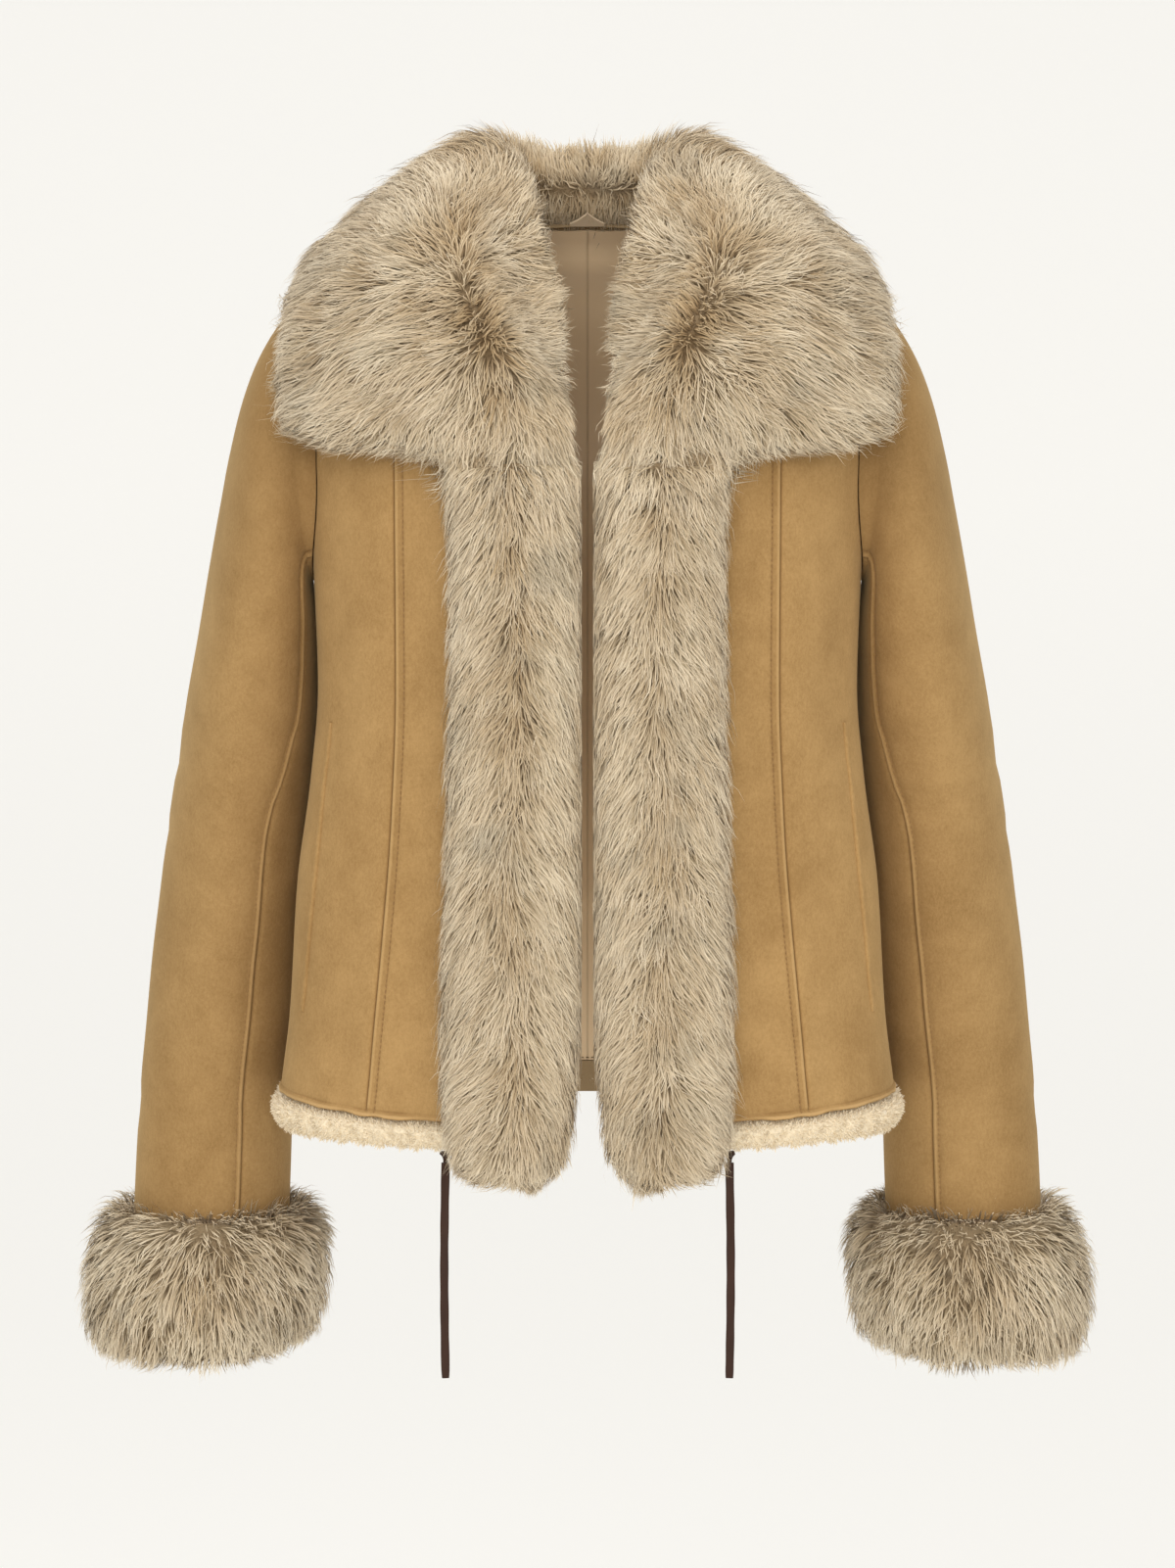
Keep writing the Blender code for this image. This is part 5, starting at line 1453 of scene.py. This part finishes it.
# repeats made with node trees: shearling pile and stitches
class NodeTree:
    # a geometry node tree whose inputs are named and given when it is used
    def __init__(self, name, inputs):
        self.tree = bpy.data.node_groups.new(name, "GeometryNodeTree")
        self.tree.interface.new_socket("Geometry", in_out="OUTPUT", socket_type="NodeSocketGeometry")
        self.tree.interface.new_socket("Geometry", in_out="INPUT", socket_type="NodeSocketGeometry")
        self.keys = {key: self.tree.interface.new_socket(key, in_out="INPUT",
                                                         socket_type="NodeSocket" + kind).identifier
                     for key, kind in inputs.items()}
        self.start = self.tree.nodes.new("NodeGroupInput")
        self.end = self.tree.nodes.new("NodeGroupOutput")

    def add(self, kind, settings=None, **inputs):
        made = self.tree.nodes.new(kind)
        for key, value in (settings or {}).items():
            setattr(made, key, value)
        for key, value in inputs.items():
            socket = made.inputs[key.replace("_", " ")]
            if isinstance(value, bpy.types.NodeSocket):
                self.tree.links.new(value, socket)
            else:
                socket.default_value = value
        return made

    def finish(self, instances, material):
        real = self.add("GeometryNodeRealizeInstances", Geometry=instances)
        painted = self.add("GeometryNodeSetMaterial", Geometry=real.outputs[0], Material=material)
        self.tree.links.new(painted.outputs[0], self.end.inputs[0])

    def meshOn(self, piece, **values):
        # the plain mesh that this tree makes from the piece
        modifier = piece.modifiers.new(self.tree.name, "NODES")
        modifier.node_group = self.tree
        for key, value in values.items():
            modifier[self.keys[key]] = value
        bpy.context.view_layer.update()
        made = bpy.data.meshes.new_from_object(piece.evaluated_get(bpy.context.evaluated_depsgraph_get()))
        piece.modifiers.remove(modifier)
        return made


pileSpread = {"lean": (0.6, 0.6, 3.14), "size": (0.55, 1.15)}  # the most that fibres lean and turn, their sizes


def scatterTree():
    # fibres on every face, each leaning and turned its own way
    made = NodeTree("pileScatter", {"Strand": "Object", "Density": "Float", "Seed": "Int"})
    given = made.start.outputs
    spots = made.add("GeometryNodeDistributePointsOnFaces", Mesh=given["Geometry"], Density=given["Density"],
                     Seed=given["Seed"])
    strand = made.add("GeometryNodeObjectInfo", Object=given["Strand"])
    lean = made.add("FunctionNodeRandomValue", {"data_type": "FLOAT_VECTOR"}, Seed=given["Seed"])
    lean.inputs[0].default_value = [-most for most in pileSpread["lean"]]
    lean.inputs[1].default_value = pileSpread["lean"]
    turn = made.add("FunctionNodeEulerToRotation", Euler=lean.outputs[0])
    rotated = made.add("FunctionNodeRotateRotation", {"rotation_space": "LOCAL"}, Rotation=spots.outputs["Rotation"],
                       Rotate_By=turn.outputs[0])
    size = made.add("FunctionNodeRandomValue", {"data_type": "FLOAT"}, Seed=given["Seed"])
    size.inputs[2].default_value, size.inputs[3].default_value = pileSpread["size"]
    placed = made.add("GeometryNodeInstanceOnPoints", Points=spots.outputs["Points"],
                      Instance=strand.outputs["Geometry"], Rotation=rotated.outputs[0], Scale=size.outputs[1])
    made.finish(placed.outputs[0], finishes["shearling"])
    return made


def stitchTree():
    # stitches evenly spaced along lines
    made = NodeTree("stitchRow", {"Stitch": "Object", "Spacing": "Float", "Thread": "Material"})
    given = made.start.outputs
    line = made.add("GeometryNodeMeshToCurve", Mesh=given["Geometry"])
    even = made.add("GeometryNodeResampleCurve", {"mode": "LENGTH"}, Curve=line.outputs[0], Length=given["Spacing"])
    stitch = made.add("GeometryNodeObjectInfo", Object=given["Stitch"])
    along = made.add("GeometryNodeInputTangent")
    turned = made.add("FunctionNodeAlignRotationToVector", {"axis": "X"}, Vector=along.outputs[0])
    placed = made.add("GeometryNodeInstanceOnPoints", Points=even.outputs[0], Instance=stitch.outputs["Geometry"],
                      Rotation=turned.outputs[0])
    made.finish(placed.outputs[0], given["Thread"])
    return made


strandPlan = {"length": 2.9, "width": 0.62, "bend": 1.3, "root": -0.6, "density": 0.85, "quickShare": 0.25}
stitchPlan = {"length": 2.3, "thick": 0.56, "spacing": 3.3, "sides": 5, "lift": 0.34}


def makeStrand():
    # one curly fibre, upright, as three triangles
    half, bend, up = strandPlan["width"] / 2, strandPlan["bend"], strandPlan["length"]
    points = np.array([(-half, 0, strandPlan["root"]), (half, 0, strandPlan["root"]),
                       (-half, bend * 0.5, up * 0.6), (half, bend * 0.5, up * 0.6), (0, bend * 1.3, up)])
    return meshPiece("fibre", points, [(0, 1, 3), (0, 3, 2), (2, 3, 4)], [finishes["shearling"]], sharp=0)


def makeStitch():
    # one stitch, thick in the middle and pressed in at its ends
    turns = np.linspace(0, 2 * math.pi, stitchPlan["sides"], endpoint=False)
    half, thick, sides = stitchPlan["length"] / 2, stitchPlan["thick"] / 2, stitchPlan["sides"]
    rings = [np.stack([0 * turns + x, thick * size * np.cos(turns), thick * size * np.sin(turns) - dip], axis=1)
             for x, size, dip in ((-half, 0.35, 0.3), (-half * 0.55, 1, 0), (half * 0.55, 1, 0), (half, 0.35, 0.3))]
    piece = meshPiece("stitch", np.concatenate(rings), loopFaces(len(rings), sides), [finishes["thread"]], sharp=0)
    fixNormals(piece)
    return piece


def dropPiece(piece):
    mesh = piece.data
    bpy.data.objects.remove(piece)
    bpy.data.meshes.remove(mesh)


rollPlan = {  # the shearling roll below the hem, in millimetres
    "startX": 83.5, "gap": 0.9, "top": 0.4, "frontEnd": 18.0, "backEnd": 13.6, "out": 3.6, "outBehind": 2.0,
    "reachIn": 8.6, "reachInBehind": 2.4, "blend": 0.2, "sections": 24, "step": 1.8,
    "tuft": 3.2, "tuftSize": 13.0, "slant": 6.0,
}


def makeRoll(name, start, end, isBack):
    # a tube of tufts along the hem between two angles of the body ring
    girth = float(halfWidth(hemZ)) * (end - start)
    angles = np.linspace(start, end, int(girth / rollPlan["step"]))
    side = float(seamAngle(hemZ))
    turns = np.linspace(0, 2 * math.pi, rollPlan["sections"], endpoint=False)
    outShare, downShare = 0.5 + 0.5 * np.cos(turns), 0.5 - 0.5 * np.sin(turns)
    rings, ways = [], []
    for i, angle in enumerate(angles):
        past = float(np.clip(min(angle - side, 2 * math.pi - side - angle) / rollPlan["blend"], 0, 1))
        out = mixed(rollPlan["out"], rollPlan["outBehind"], past)
        inside = -(rollPlan["reachInBehind"] if isBack else rollPlan["reachIn"])
        here = ringPoint(np.array([angle]), np.array([hemZ]))[0]
        drop = float(dropAt(here[0], here[1] < 0))
        low = rollPlan["backEnd"] if isBack else rollPlan["frontEnd"] - drop * 0.6
        zs = hemZ - rollPlan["top"] - drop - low * downShare
        row, hemRow = np.full(len(zs), angle), np.full(len(zs), hemZ)
        normal = normalOf(ringPoint, row, hemRow)
        flat = ringPoint(row, hemRow)
        flat[:, 2] = zs
        way = normal * np.cos(turns)[:, None] - upAxis * np.sin(turns)[:, None]
        along = i * rollPlan["step"] + rollPlan["slant"] * downShare + 2.5 * softNoise(flat, 26.0, 51)
        lobes = np.abs(np.sin(math.pi * along / rollPlan["tuftSize"])) ** 0.55
        bulge = rollPlan["tuft"] * (lobes - 0.75) * ramp(downShare, 0.04, 0.35) + 0.4 * softNoise(flat, 6.0, 52)
        ends = min(1.0, 0.25 + 0.12 * min(i, len(angles) - 1 - i))
        spread = outShare * ramp(downShare, -0.2, 0.4)
        rings.append(flat + normal * mixed(inside, out, spread)[:, None] + way * (bulge * ends)[:, None])
        ways.append(way)
    count, last = len(turns), (len(rings) - 1) * len(turns)
    ends = [tuple(range(count)), tuple(range(last, last + count))]
    piece = meshPiece(name, np.concatenate(rings), loopFaces(len(rings), count) + ends, [finishes["shearling"]],
                      sharp=0)
    fixNormals(piece)
    return piece


def growPile(roll, seed):
    # the roll with curly fibres scattered over it, as one mesh
    density = strandPlan["density"] * 1.0 / mm / mm
    pile = scatter.meshOn(roll, Strand=fibre, Density=density, Seed=seed)
    build = bmesh.new()
    build.from_mesh(roll.data)
    build.from_mesh(pile)
    build.to_mesh(roll.data)
    build.free()
    bpy.data.meshes.remove(pile)
    return roll


scatter, stitching = scatterTree(), stitchTree()
fibre, stitch = makeStrand(), makeStitch()
rollSide = float(seamAngle(hemZ))
rollGap = rollPlan["gap"] / float(halfWidth(hemZ))
rollStart = float(angleAt(np.array([rollPlan["startX"]]), np.array([hemZ]), False)[0])
rollR = growPile(makeRoll("hemShearlingFrontR", rollStart, rollSide - rollGap, False), 61)
rollL = mirroredPiece(rollR, "hemShearlingFrontL")
rollBack = growPile(makeRoll("hemShearlingBack", rollSide + rollGap, 2 * math.pi - rollSide - rollGap, True), 62)
print("shearling made")


def stitchPath(part, folds, lipped, column=None, row=None, lift=0.0):
    # a line on the finished surface, along one column or one row of a part
    _, points, normals, seam, soft, _ = surfaceParts([part], folds, lipped)
    place = (points + normals * (seam + soft + lift)[:, None]).reshape(part[0].shape)
    return place[:, column] if row is None else place[row]


def makeStitches(name, paths, thread):
    # rows of stitches on both sides along these lines
    points, edges = [], []
    for path in paths:
        for side in (1, -1):
            start = sum(len(p) for p in points)
            points.append(path * np.array([side, 1, 1]))
            edges += [(start + i, start + i + 1) for i in range(len(path) - 1)]
    mesh = bpy.data.meshes.new(name)
    mesh.from_pydata((np.concatenate(points) * mm).tolist(), edges, [])
    lines = bpy.data.objects.new(name, mesh)
    scene.collection.objects.link(lines)
    made = stitching.meshOn(lines, Stitch=stitch, Spacing=stitchPlan["spacing"] * mm, Thread=thread)
    lines.data = made
    bpy.data.meshes.remove(mesh)
    return lines


lift = stitchPlan["lift"]
bodyRows = [
    stitchPath((*frontGrid, ("free", "welt")), bodyFolds, True, column=-1 - stitchColumn, lift=lift),
    stitchPath((*backGrid, ("plain", "free")), bodyFolds, True, column=stitchColumn, lift=lift),
    stitchPath((*topGrid, ("welt", "plain")), sleeveFolds, False, column=stitchColumn, lift=lift),
]
seamStitches = makeStitches("seamStitches", bodyRows, finishes["thread"])
inner = -liningPlan["wall"] - lift
liningRows = [
    stitchPath((*moved(*liningGrid, liningPlan["out"]), ("inside", "free")), liningFolds, False, row=1, lift=inner),
    stitchPath((*moved(*liningUnder, liningPlan["out"]), ("free", "free")), liningFolds, False, row=1, lift=inner),
]
liningStitches = makeStitches("liningStitches", liningRows, finishes["liningThread"])
dropPiece(fibre)
dropPiece(stitch)
print("stitches made")


# what each shell stands for
cuts = {  # the node of each cut piece, its size in metres and its flat area
    "frontPanel": ("front_panel", 0.110, 0.560, 0.052), "sideFront": ("side_front", 0.150, 0.560, 0.057),
    "backPanel": ("back_panel", 0.235, 0.600, 0.108), "topSleeve": ("top_sleeve", 0.240, 0.640, 0.118),
    "underSleeve": ("under_sleeve", 0.190, 0.600, 0.078), "backLining": ("back_lining", 0.235, 0.600, 0.108),
}
for name, piece in shells.items():
    kind, letter = name[:-1], name[-1]
    node, width, length, area = cuts[kind]
    claim(piece, "satin_lining" if kind == "backLining" else "suede", f"{node}_{letter}")
claim(hemFacing, "satin_lining", "hem_facing")
for piece, *said in (
        (hangerTab, "suede", "hanger_tab"),
        (weltR, "suede", "pocket_welt_R"), (weltL, "suede", "pocket_welt_L"),
        (rollR, "shearling", "hem_shearling_front_R"), (rollL, "shearling", "hem_shearling_front_L"),
        (rollBack, "shearling", "hem_shearling_back"),
        (neckPiping, "satin_lining"), (seamStitches, "suede"), (liningStitches, "satin_lining")):
    claim(piece, *said)


# light, floor and backdrop
worldPlan = {"colour": (1.0, 0.985, 0.955, 1.0), "strength": 0.60}
lightTint = (1.0, 0.98, 0.95)
areaLights = {
    "keyLight": {"place": (-1.1, -2.6, 1.5), "aim": (0, 0, -0.3), "size": 1.8, "power": 25.0},
    "fillLight": {"place": (1.5, -2.4, 0.6), "aim": (0, 0, -0.3), "size": 1.8, "power": 12.0},
    "frontLight": {"place": (0, -2.9, 0.15), "aim": (0, 0, -0.25), "size": 1.2, "power": 22.0},
    "topLight": {"place": (0, -0.2, 2.2), "aim": (0, 0, -0.2), "size": 2.0, "power": 24.0},
}
neckLight = {  # a narrow soft beam into the neck opening
    "place": (0, -2.6, 0.5), "aim": (0, 0.05, -0.12), "power": 100.0, "cone": 0.13, "edge": 1.0, "soft": 0.7,
}
world = bpy.data.worlds.new("studio")
scene.world = world
world.use_nodes = True
world.node_tree.nodes["Background"].inputs["Color"].default_value = worldPlan["colour"]
world.node_tree.nodes["Background"].inputs["Strength"].default_value = worldPlan["strength"]


def addLight(name, kind, plan):
    # a light that points at its aim
    light = bpy.data.lights.new(name, kind)
    light.energy, light.color = plan["power"], lightTint
    item = bpy.data.objects.new(name, light)
    item.location = plan["place"]
    item.rotation_euler = (Vector(plan["aim"]) - item.location).to_track_quat("-Z", "Y").to_euler()
    scene.collection.objects.link(item)
    return light


for name, plan in areaLights.items():
    light = addLight(name, "AREA", plan)
    light.shape, light.size, light.size_y = "RECTANGLE", plan["size"], plan["size"]
light = addLight("neckLight", "SPOT", neckLight)
light.spot_size, light.spot_blend, light.shadow_soft_size = neckLight["cone"], neckLight["edge"], neckLight["soft"]

floorPlan = {  # in metres: where the floor starts and bends up, its level, the bend and the wall behind
    "near": -6.0, "bendFrom": 3.2, "level": -1.35, "bend": 1.2, "top": 6.0, "halfWidth": 7.0, "steps": 24,
    "colour": (0.6, 0.595, 0.58, 1.0), "glow": (1.0, 0.99, 0.955, 1.0), "glowStrength": 0.42,
}


def makeFloor():
    # a pale sweep: floor, curved up into a wall well behind the coat
    bend, level = floorPlan["bend"], floorPlan["level"]
    turns = math.pi / 2 * np.arange(floorPlan["steps"] + 1) / floorPlan["steps"]
    profile = [(floorPlan["near"], level)]
    profile += [(floorPlan["bendFrom"] + bend * math.sin(t), level + bend * (1 - math.cos(t))) for t in turns]
    profile.append((floorPlan["bendFrom"] + bend, floorPlan["top"]))
    half = floorPlan["halfWidth"]
    points = np.array([(x, y, z) for y, z in profile for x in (-half, half)]) / mm
    faces = [(2 * i, 2 * i + 1, 2 * i + 3, 2 * i + 2) for i in range(len(profile) - 1)]
    finish = Finish("paleSweep", Roughness=1.0, Specular_IOR_Level=0.0, Base_Color=floorPlan["colour"],
                    Emission_Color=floorPlan["glow"], Emission_Strength=floorPlan["glowStrength"])
    piece = meshPiece("studioFloor", points, faces, [finish.material], sharp=0)


makeFloor()

total = sum(len(item.data.loop_triangles) or len(item.data.polygons) for item in scene.objects
            if item.type == "MESH" and not item.hide_render and item.name not in frame["nodes"])
print("about", total, "faces in the dressed part")
